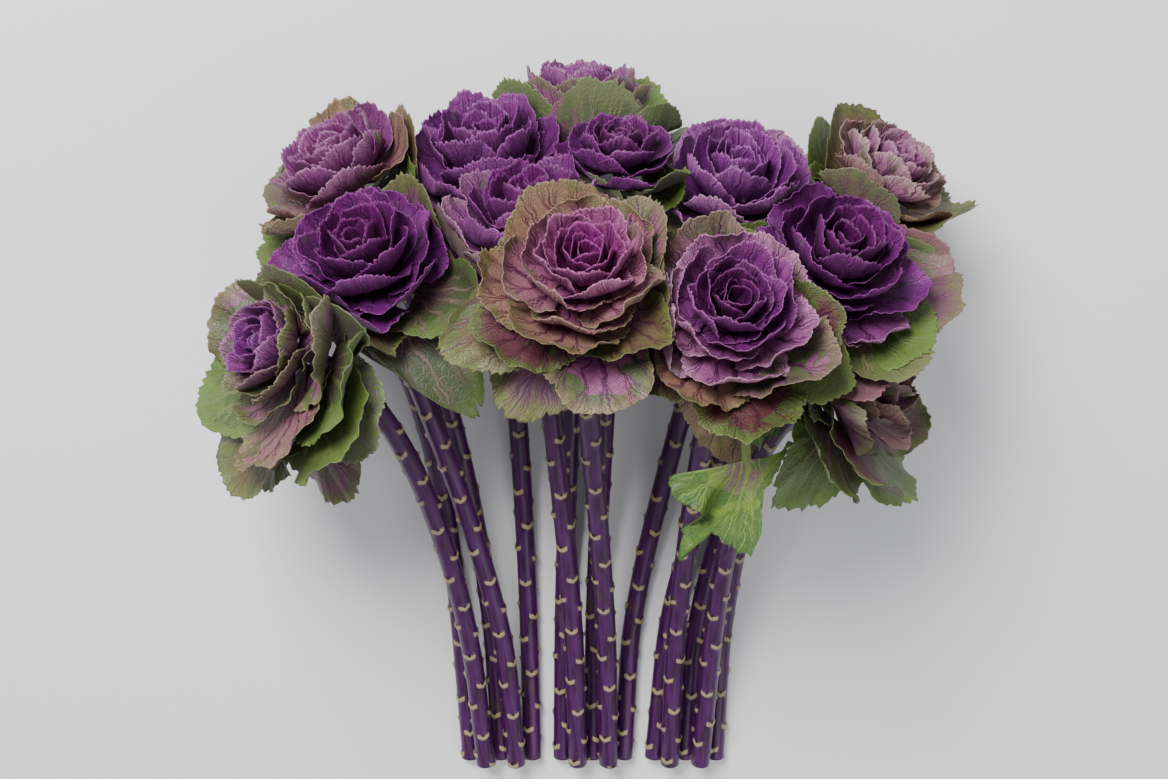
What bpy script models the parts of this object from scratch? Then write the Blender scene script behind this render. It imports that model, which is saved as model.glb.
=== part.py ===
"""A bunch of cut ornamental kale, laid down on its side.

Each plant is one stem with a rosette of leaves on top: outer green leaves on the
lowest part of the head, and inner purple leaves above them. The stems run towards
-Y to their cut ends, and the heads lie at +Y. The bunch rests on the plane z = 0.
All lengths are in metres.
"""

import math

import bmesh
import bpy
import numpy as np
from mathutils import Vector
from mathutils.bvhtree import BVHTree

# Driving dimensions of one plant. The face and the middle of a head are so many of its
# radii above the foot of its cores and below its face.
STEM_RADIUS = 0.0086
STEM_SIDES = 6
STEM_RINGS = 11
SCAR_HEIGHT = 0.0022
FACE_HEIGHT = 0.80
MIDDLE_DEPTH = 0.48
CORE_RADIUS = 0.0100
OUTER_CORE_HEIGHT = 0.0160
INNER_CORE_HEIGHT = 0.0260
ROOT_WIDTH = 0.0080
ROOT_THICKNESS = 0.0022
BLADE_THICKNESS = 0.0010
GAP = 0.0004
GOLDEN_ANGLE = math.radians(137.5)

# Inner leaves are numbered from the outermost, 0, to the heart.
INNER_LEAVES = 24
INNER_BUILT = (0, 1, 2, 6, 7, 13)
INNER_BUILT_SMALL = (0, 1, 2, 6, 7)

# Every second green leaf is built, and every third in the heads that have more than this.
MOST_IN_TWOS = 7

# Points across a blade at its root, in its middle row and along its margin.
ROOT_POINTS = 2
BLADE_ROWS = (3, 7)

# A flat blade: how far it fans out to each side, less so away from the heart, how far its
# outline falls back there, how deep the notches of its margin are, how far out its middle
# row lies, and its lobes in a full turn.
HEART_SPREAD = math.radians(66)
SPREAD_LOSS = math.radians(8)
OUTER_SPREAD = math.radians(84)
SIDE_REACH = 0.84
MARGIN_NOTCH = 0.035
MIDDLE_ROW_SHIFT = 1.08
LOBE_RATE = 7

# A petiole longer than this share has a row of points of its own, near its end.
LONG_PETIOLE = 0.22
PETIOLE_ROW = 0.8
PETIOLE_TAPER = 0.8

# The purple leaves' own rule. The margin stands at shares of the head's radius, and the
# roots climb the core from its foot to its tip.
TALLEST = 0.98
HEART_MARGIN = 0.09
MARGIN_POWER = 1.2
SHALLOW_DROP = 0.52
CUP_HOLD = 0.34
MARGIN_LEVEL = 0.78
MIDDLE_RISE = 0.16
LOWEST_ROOT = 0.003
ROOT_CLIMB = INNER_CORE_HEIGHT - 0.007
CLIMB_POWER = 0.6

# The green leaves' own rule, in shares of the head's radius.
FIRST_REACH = 1.20
MORE_REACH = 0.38
FIRST_LEVEL = 0.36
CUP_LEVEL = 0.38
FALL = 0.62
CUP_FALL = 0.25
OUTER_ROOT = 0.0126
OUTER_ROOT_FALL = 0.0076
OUTER_PETIOLE = 0.20

# A purple core's outline, as shares of its radius and of its height.
CORE_OUTLINE = ((1.0, 0.0), (0.9, 0.45), (0.4, 1.0))

# The cut ends: stems on the surface lie 27 mm apart, and the others in the gaps over them.
CUT_Y = -0.310
FLOOR_PITCH = 0.027
FLOOR_START_X = -0.109
FLOOR_ORDER = (15, 3, 4, 5, 6, 7, 12, 13, 11)
UPPER_GAPS = {1: 0, 2: 1, 8: 3, 9: 4, 10: 6, 14: 7}
UPPER_CENTRE_Z = 0.0203

# A stem's course: its straight end's share, how far the curve is pulled along the head's
# axis and along the straight end, how much it fans out, and how the upper stems rise.
STRAIGHT_SHARE = 2 / 11
HEAD_PULL = 0.20
CUT_PULL = 0.22
FAN = 0.30
UPPER_RISE = 0.22
PATH_POINTS = 60

# A head's room: how far its green and purple leaves and each next layer keep inside it,
# how softly they are pressed, how much the planes between heads lean, how near a stem
# must pass to bound the room, and how far the room reaches below the surface.
CELL_INSET = 0.0011
INNER_INSET = 0.0036
LAYER_INSET = 0.0003
CELL_SOFTNESS = 0.0120
SURFACE_SOFTNESS = 0.0010
PRESS_ROUNDS = 3
HARD_PRESS_ROUNDS = 4
CELL_LEAN = 0.40
STEM_REACH = 0.125
FLOOR_REACH = 0.0005

# Limits of the search for the nearest point of a hull.
HULL_STEPS = 200
NEAREST_SQUARED = 1e-14
SMALLEST_STEP = 1e-9
SHORTEST = 1e-12

# How a green leaf is moved off what it touches: the room it keeps, each move, and the most moves.
CLEAR_ROOM = GAP + 0.0006
CLEAR_MOVE = 0.0012
CLEAR_MOVES = 90

# The exact solver leaves scraps and more triangles where thin leaves cross at low angles.
UNION_SOLVER = "MANIFOLD"
MERGE_DISTANCE = 0.000002

# Each kind of piece's colour and roughness.
PURPLE = ((0.16, 0.030, 0.17, 1.0), 0.50)
GREEN = ((0.13, 0.17, 0.075, 1.0), 0.55)
VIOLET = ((0.075, 0.022, 0.070, 1.0), 0.45)

# Every plant: the middle of its face, the way it faces, its purple radius, how deep
# its cup is from 0 to 1, its number of green leaves and how far these reach.
PLANTS = {
    1: dict(face=(-0.249, 0.106, 0.222), axis=(-0.72, 0.40, 0.56), radius=0.056, cup=1.0, green=13, reach=1.3),
    2: dict(face=(-0.174, 0.184, 0.212), axis=(-0.20, 0.78, 0.62), radius=0.073, cup=0.3, green=7, reach=1.0),
    3: dict(face=(-0.209, 0.239, 0.106), axis=(-0.45, 0.80, 0.38), radius=0.066, cup=0.9, green=8, reach=1.0),
    4: dict(face=(-0.089, 0.254, 0.110), axis=(-0.12, 0.88, 0.45), radius=0.082, cup=0.4, green=7, reach=1.0),
    5: dict(face=(-0.009, 0.290, 0.058), axis=(0.03, 1.00, 0.06), radius=0.064, cup=1.0, green=9, reach=1.0),
    6: dict(face=(0.017, 0.250, 0.138), axis=(0.02, 0.93, 0.36), radius=0.052, cup=0.5, green=5, reach=1.0),
    7: dict(face=(0.109, 0.233, 0.130), axis=(0.06, 0.84, 0.53), radius=0.076, cup=0.5, green=8, reach=1.0),
    8: dict(face=(-0.051, 0.214, 0.188), axis=(-0.08, 0.93, 0.36), radius=0.074, cup=0.8, green=7, reach=1.0),
    9: dict(face=(-0.008, 0.181, 0.283), axis=(0.02, 0.73, 0.68), radius=0.060, cup=0.9, green=10, reach=1.0),
    10: dict(face=(0.095, 0.149, 0.283), axis=(0.06, 0.60, 0.80), radius=0.062, cup=1.0, green=11, reach=1.0),
    11: dict(face=(0.181, 0.184, 0.215), axis=(0.22, 0.76, 0.62), radius=0.074, cup=0.3, green=8, reach=1.0),
    12: dict(face=(0.231, 0.234, 0.130), axis=(0.48, 0.78, 0.40), radius=0.057, cup=0.9, green=8, reach=1.0),
    13: dict(face=(0.191, 0.214, 0.054), axis=(0.20, 0.96, 0.14), radius=0.056, cup=0.4, green=5, reach=1.0),
    14: dict(face=(0.219, 0.084, 0.192), axis=(0.80, 0.46, 0.34), radius=0.058, cup=0.9, green=11, reach=1.25),
    15: dict(face=(-0.254, 0.149, 0.056), axis=(-0.80, 0.55, 0.15), radius=0.060, cup=0.4, green=5, reach=1.0),
}
SMALL_HEADS = (5, 6, 12, 13, 15)

# Large loose leaves, each with the way it points round its head, from the side of the
# stems, its reach from the head's axis, its height over the base, its petiole's share
# and how deep its lobes are.
LOOSE_LEAVES = {
    1: [(20, 0.096, -0.040, 0.42, 0), (-25, 0.108, -0.016, 0.45, 0), (62, 0.092, -0.020, 0.30, 0)],
    2: [(44, 0.104, -0.052, 0.30, 0), (-15, 0.066, -0.066, 0.42, 0)],
    4: [(170, 0.098, 0.030, 0.20, 0)],
    8: [(-58, 0.130, 0.000, 0.25, 0), (-102, 0.118, 0.030, 0.23, 0), (118, 0.094, 0.040, 0.20, 0)],
    9: [(-38, 0.082, -0.046, 0.30, 0), (-80, 0.112, -0.010, 0.25, 0), (70, 0.090, -0.030, 0.25, 0)],
    10: [(12, 0.070, -0.062, 0.30, 0), (50, 0.080, -0.066, 0.34, 0), (10, 0.128, -0.120, 0.60, 0.16)],
    11: [(-34, 0.112, 0.004, 0.20, 0), (2, 0.114, -0.010, 0.20, 0), (34, 0.110, 0.000, 0.20, 0)],
    14: [(-38, 0.082, -0.050, 0.34, 0), (18, 0.086, -0.020, 0.26, 0)],
}


def unit(vector):
    """The vector scaled to length 1."""
    vector = np.asarray(vector, float)
    return vector / np.linalg.norm(vector)


def head_frame(number):
    """Where a head's leaves start, its axis, and the two directions across it.

    The first direction across points towards the stems' side, the second to its right.
    """
    plant = PLANTS[number]
    axis = unit(plant["axis"])
    depth = OUTER_CORE_HEIGHT + FACE_HEIGHT * plant["radius"]
    base = np.array(plant["face"]) - depth * axis
    down = np.array([0.0, -1.0, 0.0])
    first = unit(down - axis * (down @ axis))
    return base, axis, first, np.cross(axis, first)


def head_middle(number):
    """The middle of a head's volume."""
    plant = PLANTS[number]
    return np.array(plant["face"]) - MIDDLE_DEPTH * plant["radius"] * unit(plant["axis"])


def stem_path(number, count):
    """Points along a stem from its head down to its cut end.

    A cubic Bezier curve leaves the head along its axis, and a straight stretch ends it.
    """
    base, axis, _, _ = head_frame(number)
    if number in FLOOR_ORDER:
        slot = FLOOR_ORDER.index(number)
        flat_radius = STEM_RADIUS * math.cos(math.pi / STEM_SIDES)
        cut = np.array([FLOOR_START_X + slot * FLOOR_PITCH, CUT_Y, flat_radius])
        rise = 0.0
    else:
        slot = UPPER_GAPS[number] + 0.5
        cut = np.array([FLOOR_START_X + slot * FLOOR_PITCH, CUT_Y, UPPER_CENTRE_Z])
        rise = UPPER_RISE
    span = np.linalg.norm(base - cut)
    ahead = unit([(base - cut)[0] / span * FAN, 1.0, rise])
    lifted = cut + ahead * STRAIGHT_SHARE * span
    points = (base, base - axis * HEAD_PULL * span, lifted + ahead * CUT_PULL * span, lifted)
    along = np.linspace(0.0, 1.0, count)[:, None]
    t = np.minimum(along / (1 - STRAIGHT_SHARE), 1.0)
    curve = (
        (1 - t) ** 3 * points[0]
        + 3 * t * (1 - t) ** 2 * points[1]
        + 3 * t**2 * (1 - t) * points[2]
        + t**3 * points[3]
    )
    straight = np.maximum(along - (1 - STRAIGHT_SHARE), 0.0)
    return curve - straight * span * ahead


def nearest_in_hull(points, target):
    """The point of the hull of some points that is nearest to a target."""
    best = points[np.argmin(np.linalg.norm(points - target, axis=1))].copy()
    for _ in range(HULL_STEPS):
        towards = target - best
        corner = points[np.argmax(points @ towards)]
        edge = corner - best
        length = edge @ edge
        if length < NEAREST_SQUARED:
            break
        step = np.clip(towards @ edge / length, 0.0, 1.0)
        if step < SMALLEST_STEP:
            break
        best = best + step * edge
    return best


def cell_planes(number):
    """Planes that bound a head's room, as outward normals and offsets.

    One plane stands between every two heads, nearer to the smaller one, and leans so
    that the higher head spreads over the lower one. One plane stands before each stem
    of another plant that passes by, and one is the surface below.
    """
    middle = head_middle(number)
    radius = PLANTS[number]["radius"]
    normals = [np.array([0.0, 0.0, -1.0])]
    offsets = [FLOOR_REACH]
    for other in PLANTS:
        if other == number:
            continue
        apart = head_middle(other) - middle
        distance = np.linalg.norm(apart)
        share = 0.5 + 0.5 * (radius - PLANTS[other]["radius"]) / distance
        lean = np.array([0.0, 0.0, CELL_LEAN * np.sign(apart[2])])
        normal = unit(apart / distance + lean)
        normals.append(normal)
        offsets.append(normal @ (middle + share * apart))
        path = stem_path(other, PATH_POINTS)
        path = path[np.linalg.norm(path - middle, axis=1) < STEM_REACH]
        if len(path):
            nearest = nearest_in_hull(path, middle)
            normal = unit(nearest - middle)
            normals.append(normal)
            offsets.append(normal @ nearest - STEM_RADIUS - SCAR_HEIGHT)
    return np.array(normals), np.array(offsets)


def pressed(points, planes, inset):
    """Points moved smoothly back inside a head's room.

    Within the softness of a plane, a point's distance past it is squeezed by an
    exponential, so that leaves bend along their neighbours and never reach them.
    """
    points = points.copy()
    normals, offsets = planes
    for _ in range(PRESS_ROUNDS):
        for normal, offset in zip(normals, offsets):
            on_surface = normal[2] == -1.0
            clear = CELL_INSET if on_surface else inset
            room = SURFACE_SOFTNESS if on_surface else CELL_SOFTNESS - inset
            past = np.maximum(points @ normal - offset + clear + room, 0.0)
            squeezed = room * (1.0 - np.exp(-past / room))
            points -= (past - squeezed)[:, None] * normal
    return points


def inner_leaf(number, index):
    """The shape of one purple leaf, from its place in the spiral, 0 at the heart to 1.

    The margin's radius grows from the heart out with a power of the place, and the
    outer margins stand lower where the cup is shallow.
    """
    plant = PLANTS[number]
    rng = np.random.default_rng(1000 * number + index)
    order = 1.0 - index / (INNER_LEAVES - 1)
    radius = plant["radius"]
    share = HEART_MARGIN + (1 - HEART_MARGIN) * order**MARGIN_POWER
    margin_radius = radius * share * rng.uniform(0.92, 1.05)
    lowering = (SHALLOW_DROP - CUP_HOLD * plant["cup"]) * order**2
    level = MARGIN_LEVEL + MIDDLE_RISE * math.sin(math.pi * order) - lowering
    margin_height = OUTER_CORE_HEIGHT + TALLEST * radius * level
    root_height = OUTER_CORE_HEIGHT + LOWEST_ROOT + ROOT_CLIMB * (1 - order) ** CLIMB_POWER
    root = (0.0015 + 0.004 * order, root_height)
    elbow = (0.97 * margin_radius, root_height + 0.26 * (margin_height - root_height))
    margin = (margin_radius, margin_height)
    length = 0.85 * (math.dist(root, elbow) + math.dist(elbow, margin))
    return dict(
        azimuth=index * GOLDEN_ANGLE + rng.uniform(-0.12, 0.12),
        meridian=(root, elbow, margin),
        length=length,
        petiole=0.04,
        lobes=0,
        spread=HEART_SPREAD - SPREAD_LOSS * order,
        wrap=1.0,
        open=0.007,
        ruffle=length * rng.uniform(0.040, 0.075),
        waves=rng.uniform(4.2, 5.6),
        phase=rng.uniform(0, 2 * math.pi),
    )


def outer_leaf(number, index):
    """The shape of one green leaf of the head's own spiral.

    The first leaves hold the purple ones like a cup, and each next one reaches a little
    farther out and lower.
    """
    plant = PLANTS[number]
    rng = np.random.default_rng(1000 * number + 500 + index)
    order = index / max(1, plant["green"] - 1)
    radius = plant["radius"]
    reach = plant["reach"] * (FIRST_REACH + MORE_REACH * order)
    margin_radius = reach * radius * rng.uniform(0.94, 1.06)
    high = OUTER_CORE_HEIGHT + radius * (FIRST_LEVEL + CUP_LEVEL * plant["cup"])
    margin_height = high - radius * (FALL + CUP_FALL * plant["cup"]) * order
    root = (0.0062, OUTER_ROOT - OUTER_ROOT_FALL * order)
    elbow = (0.78 * margin_radius, root[1] + 0.10 * radius * (1 - order))
    margin = (margin_radius, margin_height)
    return blade(number, index, rng, root, elbow, margin, OUTER_PETIOLE)


def loose_leaf(number, index):
    """The shape of one large loose leaf from the list above."""
    degrees, reach, height, petiole, lobes = LOOSE_LEAVES[number][index]
    rng = np.random.default_rng(1000 * number + 700 + index)
    root = (0.006, 0.0060)
    elbow = (0.55 * reach, 0.0090 + 0.10 * max(height, 0.0))
    shape = blade(number, 0, rng, root, elbow, (reach, height), petiole)
    shape["azimuth"] = math.radians(degrees)
    shape["wrap"] = 0.35
    shape["lobes"] = lobes
    return shape


def blade(number, index, rng, root, elbow, margin, petiole):
    """The values that the green leaves share."""
    length = 0.88 * (math.dist(root, elbow) + math.dist(elbow, margin))
    return dict(
        azimuth=(index + 0.4) * GOLDEN_ANGLE + number + rng.uniform(-0.15, 0.15),
        meridian=(root, elbow, margin),
        length=length,
        petiole=petiole,
        lobes=0,
        spread=OUTER_SPREAD,
        wrap=0.72,
        open=0.014,
        ruffle=length * rng.uniform(0.04, 0.06),
        waves=rng.uniform(3.6, 4.8),
        phase=rng.uniform(0, 2 * math.pi),
    )


def carried(frame, leaf, across, along, lift):
    """Carry flat leaf coordinates onto the head.

    The leaf's middle line follows a quadratic curve from root over elbow to margin,
    in the plane of the head's axis. Across it, the blade is an arc round the axis.
    The lift stands along the blade's normal.
    """
    base, axis, first, second = frame
    root, elbow, margin = (np.array(point) for point in leaf["meridian"])
    t = (along / leaf["length"])[:, None]
    line = (1 - t) ** 2 * root + 2 * t * (1 - t) * elbow + t**2 * margin
    slope = 2 * (1 - t) * (elbow - root) + 2 * t * (margin - elbow)
    slope /= np.linalg.norm(slope, axis=1)[:, None]
    bend = leaf["wrap"] / (np.abs(line[:, 0]) + leaf["open"])
    sideways = np.sin(bend * across) / bend
    inwards = (1 - np.cos(bend * across)) / bend
    radial = line[:, 0] - inwards - lift * slope[:, 1]
    height = line[:, 1] + lift * slope[:, 0]
    out = math.cos(leaf["azimuth"]) * first + math.sin(leaf["azimuth"]) * second
    side = np.cross(axis, out)
    return base + radial[:, None] * out + height[:, None] * axis + sideways[:, None] * side


def leaf_rows(leaf):
    """Flat coordinates of a leaf's rows of points, from its root to its margin.

    The rows fan out round the base of the blade, and the last one is notched.
    """
    half = ROOT_WIDTH / 2
    stalk = leaf["petiole"] * leaf["length"]
    rows = [(np.array([-half, half]), np.zeros(2), np.zeros(2))]
    if leaf["petiole"] > LONG_PETIOLE:
        rows.append((np.array([-half, half]), np.full(2, PETIOLE_ROW * stalk), np.zeros(2)))
    for step, count in enumerate(BLADE_ROWS, start=1):
        share = step / len(BLADE_ROWS)
        share = share if share == 1 else MIDDLE_ROW_SHIFT * share
        angle = np.linspace(-leaf["spread"], leaf["spread"], count)
        fall = SIDE_REACH + (1 - SIDE_REACH) * np.cos(2 * angle)
        radius = share * (leaf["length"] - stalk) * fall
        radius = radius * (1 - share * leaf["lobes"] * np.cos(LOBE_RATE * angle))
        if share == 1:
            radius = radius * (1 + MARGIN_NOTCH * np.cos(math.pi * np.arange(count)))
        lift = leaf["ruffle"] * share**3 * np.sin(leaf["waves"] * angle + leaf["phase"])
        rows.append((radius * np.sin(angle), stalk + radius * np.cos(angle), lift))
    return rows


def stitched(counts):
    """Triangles between rows of points that may differ in number."""
    triangles = []
    start = 0
    for low, high in zip(counts[:-1], counts[1:]):
        a, b = 0, 0
        while a < low - 1 or b < high - 1:
            if b == high - 1 or (a < low - 1 and (a + 1) / (low - 1) <= (b + 0.5) / (high - 1)):
                triangles.append((start + a, start + low + b, start + a + 1))
                a += 1
            else:
                triangles.append((start + a, start + low + b, start + low + b + 1))
                b += 1
        start += low
    return triangles


def outline(counts):
    """The closed chain of points round a leaf."""
    starts = np.concatenate([[0], np.cumsum(counts)[:-1]])
    left = [int(s) for s in starts]
    right = [int(s + c - 1) for s, c in zip(starts, counts)]
    top = list(range(left[-1], right[-1] + 1))
    return left[:-1] + top + right[:-1][::-1]


def thickened(points, counts, faces):
    """A closed solid round the middle surface, thick at the root and thin at the margin."""
    normals = np.zeros_like(points)
    for a, b, c in faces:
        normal = np.cross(points[b] - points[a], points[c] - points[a])
        normals[[a, b, c]] += normal
    normals /= np.maximum(np.linalg.norm(normals, axis=1), SHORTEST)[:, None]
    row = np.concatenate([np.full(count, k) for k, count in enumerate(counts)])
    half = np.where(row == 0, ROOT_THICKNESS, BLADE_THICKNESS)
    on_petiole = (row == 1) & (len(counts) > len(BLADE_ROWS) + 1)
    half = np.where(on_petiole, PETIOLE_TAPER * ROOT_THICKNESS, half) / 2
    total = len(points)
    vertices = np.vstack([points + normals * half[:, None], points - normals * half[:, None]])
    solid = list(faces)
    solid += [(a + total, c + total, b + total) for a, b, c in faces]
    ring = outline(counts)
    for a, b in zip(ring, ring[1:] + ring[:1]):
        solid.append((a, a + total, b))
        solid.append((b, a + total, b + total))
    return vertices, solid


def tree(vertices, faces):
    """A search tree over some triangles."""
    return BVHTree.FromPolygons([Vector(v) for v in vertices], faces, epsilon=0.0)


def fatter(points, counts, faces, extra):
    """The solid of a leaf with some more thickness, for finding what it touches."""
    vertices, solid = thickened(points, counts, faces)
    total = len(points)
    middle = (vertices[:total] + vertices[total:]) / 2
    half = (vertices[:total] - vertices[total:]) / 2
    half += unit_rows(half) * extra
    return np.vstack([middle + half, middle - half]), solid


def unit_rows(rows):
    """Each row scaled to length 1."""
    return rows / np.maximum(np.linalg.norm(rows, axis=1), SHORTEST)[:, None]


def bent_clear(points, counts, faces, free_from, obstacles, planes):
    """Move a leaf's points off the obstacles, a little at a time.

    Points of triangles that touch an obstacle move away from its own middle line.
    """
    for _ in range(CLEAR_MOVES):
        vertices, solid = fatter(points, counts, faces, CLEAR_ROOM)
        hit = set()
        away = np.zeros_like(points)
        for obstacle, middle in obstacles:
            for mine, _ in tree(vertices, solid).overlap(obstacle):
                for corner in solid[mine]:
                    point = corner % len(points)
                    if point >= free_from:
                        hit.add(point)
                        away[point] += middle(points[point])
        if not hit:
            break
        chosen = sorted(hit)
        points[chosen] += CLEAR_MOVE * unit_rows(away[chosen])
        points = pressed_hard(points, planes)
    return points


def pressed_hard(points, planes):
    """Points put back inside a head's room where they are past a plane."""
    normals, offsets = planes
    for _ in range(HARD_PRESS_ROUNDS):
        for normal, offset in zip(normals, offsets):
            past = points @ normal - offset + CELL_INSET
            points = points - np.maximum(past, 0.0)[:, None] * normal
    return points


def new_object(name, vertices, faces, collection):
    """An object from points and faces, with its faces pointing out."""
    mesh = bpy.data.meshes.new(name)
    mesh.from_pydata([tuple(v) for v in vertices], [], faces)
    shaped = bmesh.new()
    shaped.from_mesh(mesh)
    bmesh.ops.recalc_face_normals(shaped, faces=shaped.faces)
    shaped.to_mesh(mesh)
    shaped.free()
    made = bpy.data.objects.new(name, mesh)
    collection.objects.link(made)
    return made


def turned_core(frame, profile, sides):
    """Points and faces of a prism turned round the head's axis."""
    base, axis, first, second = frame
    vertices = []
    for radius, height in profile:
        for k in range(sides):
            angle = 2 * math.pi * k / sides
            across = math.cos(angle) * first + math.sin(angle) * second
            vertices.append(base + radius * across + height * axis)
    faces = []
    for ring in range(len(profile) - 1):
        for k in range(sides):
            a = ring * sides + k
            b = ring * sides + (k + 1) % sides
            faces.append((a, b, b + sides, a + sides))
    faces.append(tuple(range(sides - 1, -1, -1)))
    last = (len(profile) - 1) * sides
    faces.append(tuple(range(last, last + sides)))
    return vertices, faces


def joined(name, core, leaves, finish):
    """One solid from a core and the leaves that grow on it."""
    scene = bpy.context.scene.collection
    holder = bpy.data.collections.new(name + "_repeats")
    scene.children.link(holder)
    body = new_object(name, core[0], core[1], scene)
    for k, (vertices, faces) in enumerate(leaves):
        new_object(f"{name}_{k}", vertices, faces, holder)
    union = body.modifiers.new("union", "BOOLEAN")
    union.operation = "UNION"
    union.operand_type = "COLLECTION"
    union.collection = holder
    union.solver = UNION_SOLVER
    shaped = bpy.data.meshes.new_from_object(
        body.evaluated_get(bpy.context.evaluated_depsgraph_get())
    )
    body.modifiers.remove(union)
    body.data = shaped
    for leaf in list(holder.objects):
        bpy.data.objects.remove(leaf)
    bpy.data.collections.remove(holder)
    tidied(body)
    painted(body, finish)


def tidied(body):
    """Merge doubled points, fill sealed hollows and drop loose scraps."""
    shaped = bmesh.new()
    shaped.from_mesh(body.data)
    bmesh.ops.triangulate(shaped, faces=shaped.faces)
    bmesh.ops.remove_doubles(shaped, verts=shaped.verts, dist=MERGE_DISTANCE)
    bmesh.ops.dissolve_degenerate(shaped, edges=shaped.edges, dist=MERGE_DISTANCE)
    bmesh.ops.triangulate(shaped, faces=shaped.faces)
    groups = islands(shaped)
    largest = max(groups, key=len)
    spare = [face for group in groups if group is not largest for face in group]
    bmesh.ops.delete(shaped, geom=spare, context="FACES")
    shaped.to_mesh(body.data)
    shaped.free()


def islands(shaped):
    """The separate shells of a mesh, as lists of faces that meet along edges."""
    seen = set()
    groups = []
    for start in shaped.faces:
        if start in seen:
            continue
        group = [start]
        seen.add(start)
        for face in group:
            for edge in face.edges:
                for other in edge.link_faces:
                    if other not in seen:
                        seen.add(other)
                        group.append(other)
        groups.append(group)
    return groups


def painted(body, finish):
    """Give an object its own material."""
    colour, roughness = finish
    material = bpy.data.materials.new(body.name)
    material.use_nodes = True
    shader = material.node_tree.nodes["Principled BSDF"]
    shader.inputs["Base Color"].default_value = colour
    shader.inputs["Roughness"].default_value = roughness
    shader.inputs["Metallic"].default_value = 0.0
    body.data.materials.clear()
    body.data.materials.append(material)


def stem_mesh(number):
    """Points and faces of a stem: a six-sided tube with a leaf scar raised on each ring."""
    path = stem_path(number, STEM_RINGS)
    ahead = unit_rows(np.gradient(path, axis=0))
    ahead[0] = -unit(PLANTS[number]["axis"])
    lateral = unit_rows(np.cross(ahead, [0.0, 0.0, 1.0]))
    upward = np.cross(lateral, ahead)
    vertices = []
    for ring in range(STEM_RINGS):
        for k in range(STEM_SIDES):
            angle = 2 * math.pi * (k + 0.5) / STEM_SIDES - math.pi / 2
            radius = STEM_RADIUS
            on_body = 1 < ring < STEM_RINGS - 1
            if on_body and (2 * ring + number) % STEM_SIDES == k:
                radius += SCAR_HEIGHT
            out = math.cos(angle) * lateral[ring] + math.sin(angle) * upward[ring]
            point = path[ring] + radius * out
            point[2] = max(point[2], 0.0)
            vertices.append(point)
    faces = []
    for ring in range(STEM_RINGS - 1):
        for k in range(STEM_SIDES):
            a = ring * STEM_SIDES + k
            b = ring * STEM_SIDES + (k + 1) % STEM_SIDES
            faces.append((a, b, b + STEM_SIDES))
            faces.append((a, b + STEM_SIDES, a + STEM_SIDES))
    faces.append(tuple(range(STEM_SIDES - 1, -1, -1)))
    last = (STEM_RINGS - 1) * STEM_SIDES
    faces.append(tuple(range(last, last + STEM_SIDES)))
    return vertices, faces


def off_stem(number):
    """A function that points from a stem's middle line to a point."""
    path = stem_path(number, PATH_POINTS)

    def direction(point):
        nearest = path[np.argmin(np.linalg.norm(path - point, axis=1))]
        return unit(point - nearest)

    return direction


def off_head(number):
    """A function that points from the middle of a head's face to a point."""
    centre = np.array(PLANTS[number]["face"])

    def direction(point):
        return unit(point - centre)

    return direction


def built_leaf(frame, leaf, planes, inset):
    """A leaf's middle surface inside its head's room, with its rows and triangles."""
    rows = leaf_rows(leaf)
    counts = [len(row[0]) for row in rows]
    across, along, lift = (np.concatenate([row[k] for row in rows]) for k in range(3))
    points = pressed(carried(frame, leaf, across, along, lift), planes, inset)
    return points, counts, stitched(counts)


def plant_objects(number, stems):
    """Build one plant: its stem, its green leaves and its purple leaves."""
    frame = head_frame(number)
    planes = cell_planes(number)
    stem = new_object(f"stem_{number:02d}", *stems[number], bpy.context.scene.collection)
    painted(stem, VIOLET)

    inner = []
    shown = INNER_BUILT_SMALL if number in SMALL_HEADS else INNER_BUILT
    for index in shown:
        leaf = inner_leaf(number, index)
        inset = INNER_INSET + LAYER_INSET * index
        points, counts, faces = built_leaf(frame, leaf, planes, inset)
        inner.append(thickened(points, counts, faces))
    base_height = OUTER_CORE_HEIGHT + GAP
    profile = [
        (wide * CORE_RADIUS, base_height + high * INNER_CORE_HEIGHT) for wide, high in CORE_OUTLINE
    ]
    inner_core = turned_core(frame, profile, STEM_SIDES)

    obstacles = [(tree(*solid), off_head(number)) for solid in inner]
    obstacles += [(tree(*stems[other]), off_stem(other)) for other in PLANTS]
    green = PLANTS[number]["green"]
    step = 2 if green <= MOST_IN_TWOS else 3
    shapes = [outer_leaf(number, k) for k in range(0, green, step)]
    shapes += [loose_leaf(number, k) for k in range(len(LOOSE_LEAVES.get(number, ())))]
    outer = []
    for layer, leaf in enumerate(shapes):
        inset = CELL_INSET + LAYER_INSET * (len(shapes) - 1 - layer)
        points, counts, faces = built_leaf(frame, leaf, planes, inset)
        points = bent_clear(points, counts, faces, ROOT_POINTS, obstacles, planes)
        outer.append(thickened(points, counts, faces))
    profile = ((CORE_RADIUS, GAP), (CORE_RADIUS, OUTER_CORE_HEIGHT))
    outer_core = turned_core(frame, profile, STEM_SIDES)

    joined(f"inner_leaves_{number:02d}", inner_core, inner, PURPLE)
    joined(f"outer_leaves_{number:02d}", outer_core, outer, GREEN)


def build():
    """Build the whole bunch."""
    for old in list(bpy.data.objects):
        bpy.data.objects.remove(old)
    stems = {number: stem_mesh(number) for number in PLANTS}
    for number in PLANTS:
        plant_objects(number, stems)


build()
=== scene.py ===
"""A bunch of cut ornamental kale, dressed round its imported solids.

Each plant is one stem with a rosette on top: green leaves on the lowest part of the
head, and purple leaves above them. The bunch lies on its side, its stems towards -Y,
and the camera looks down on it. All lengths are in metres.
"""

import math

import bpy
import numpy as np
from mathutils import Matrix, Vector


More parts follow.
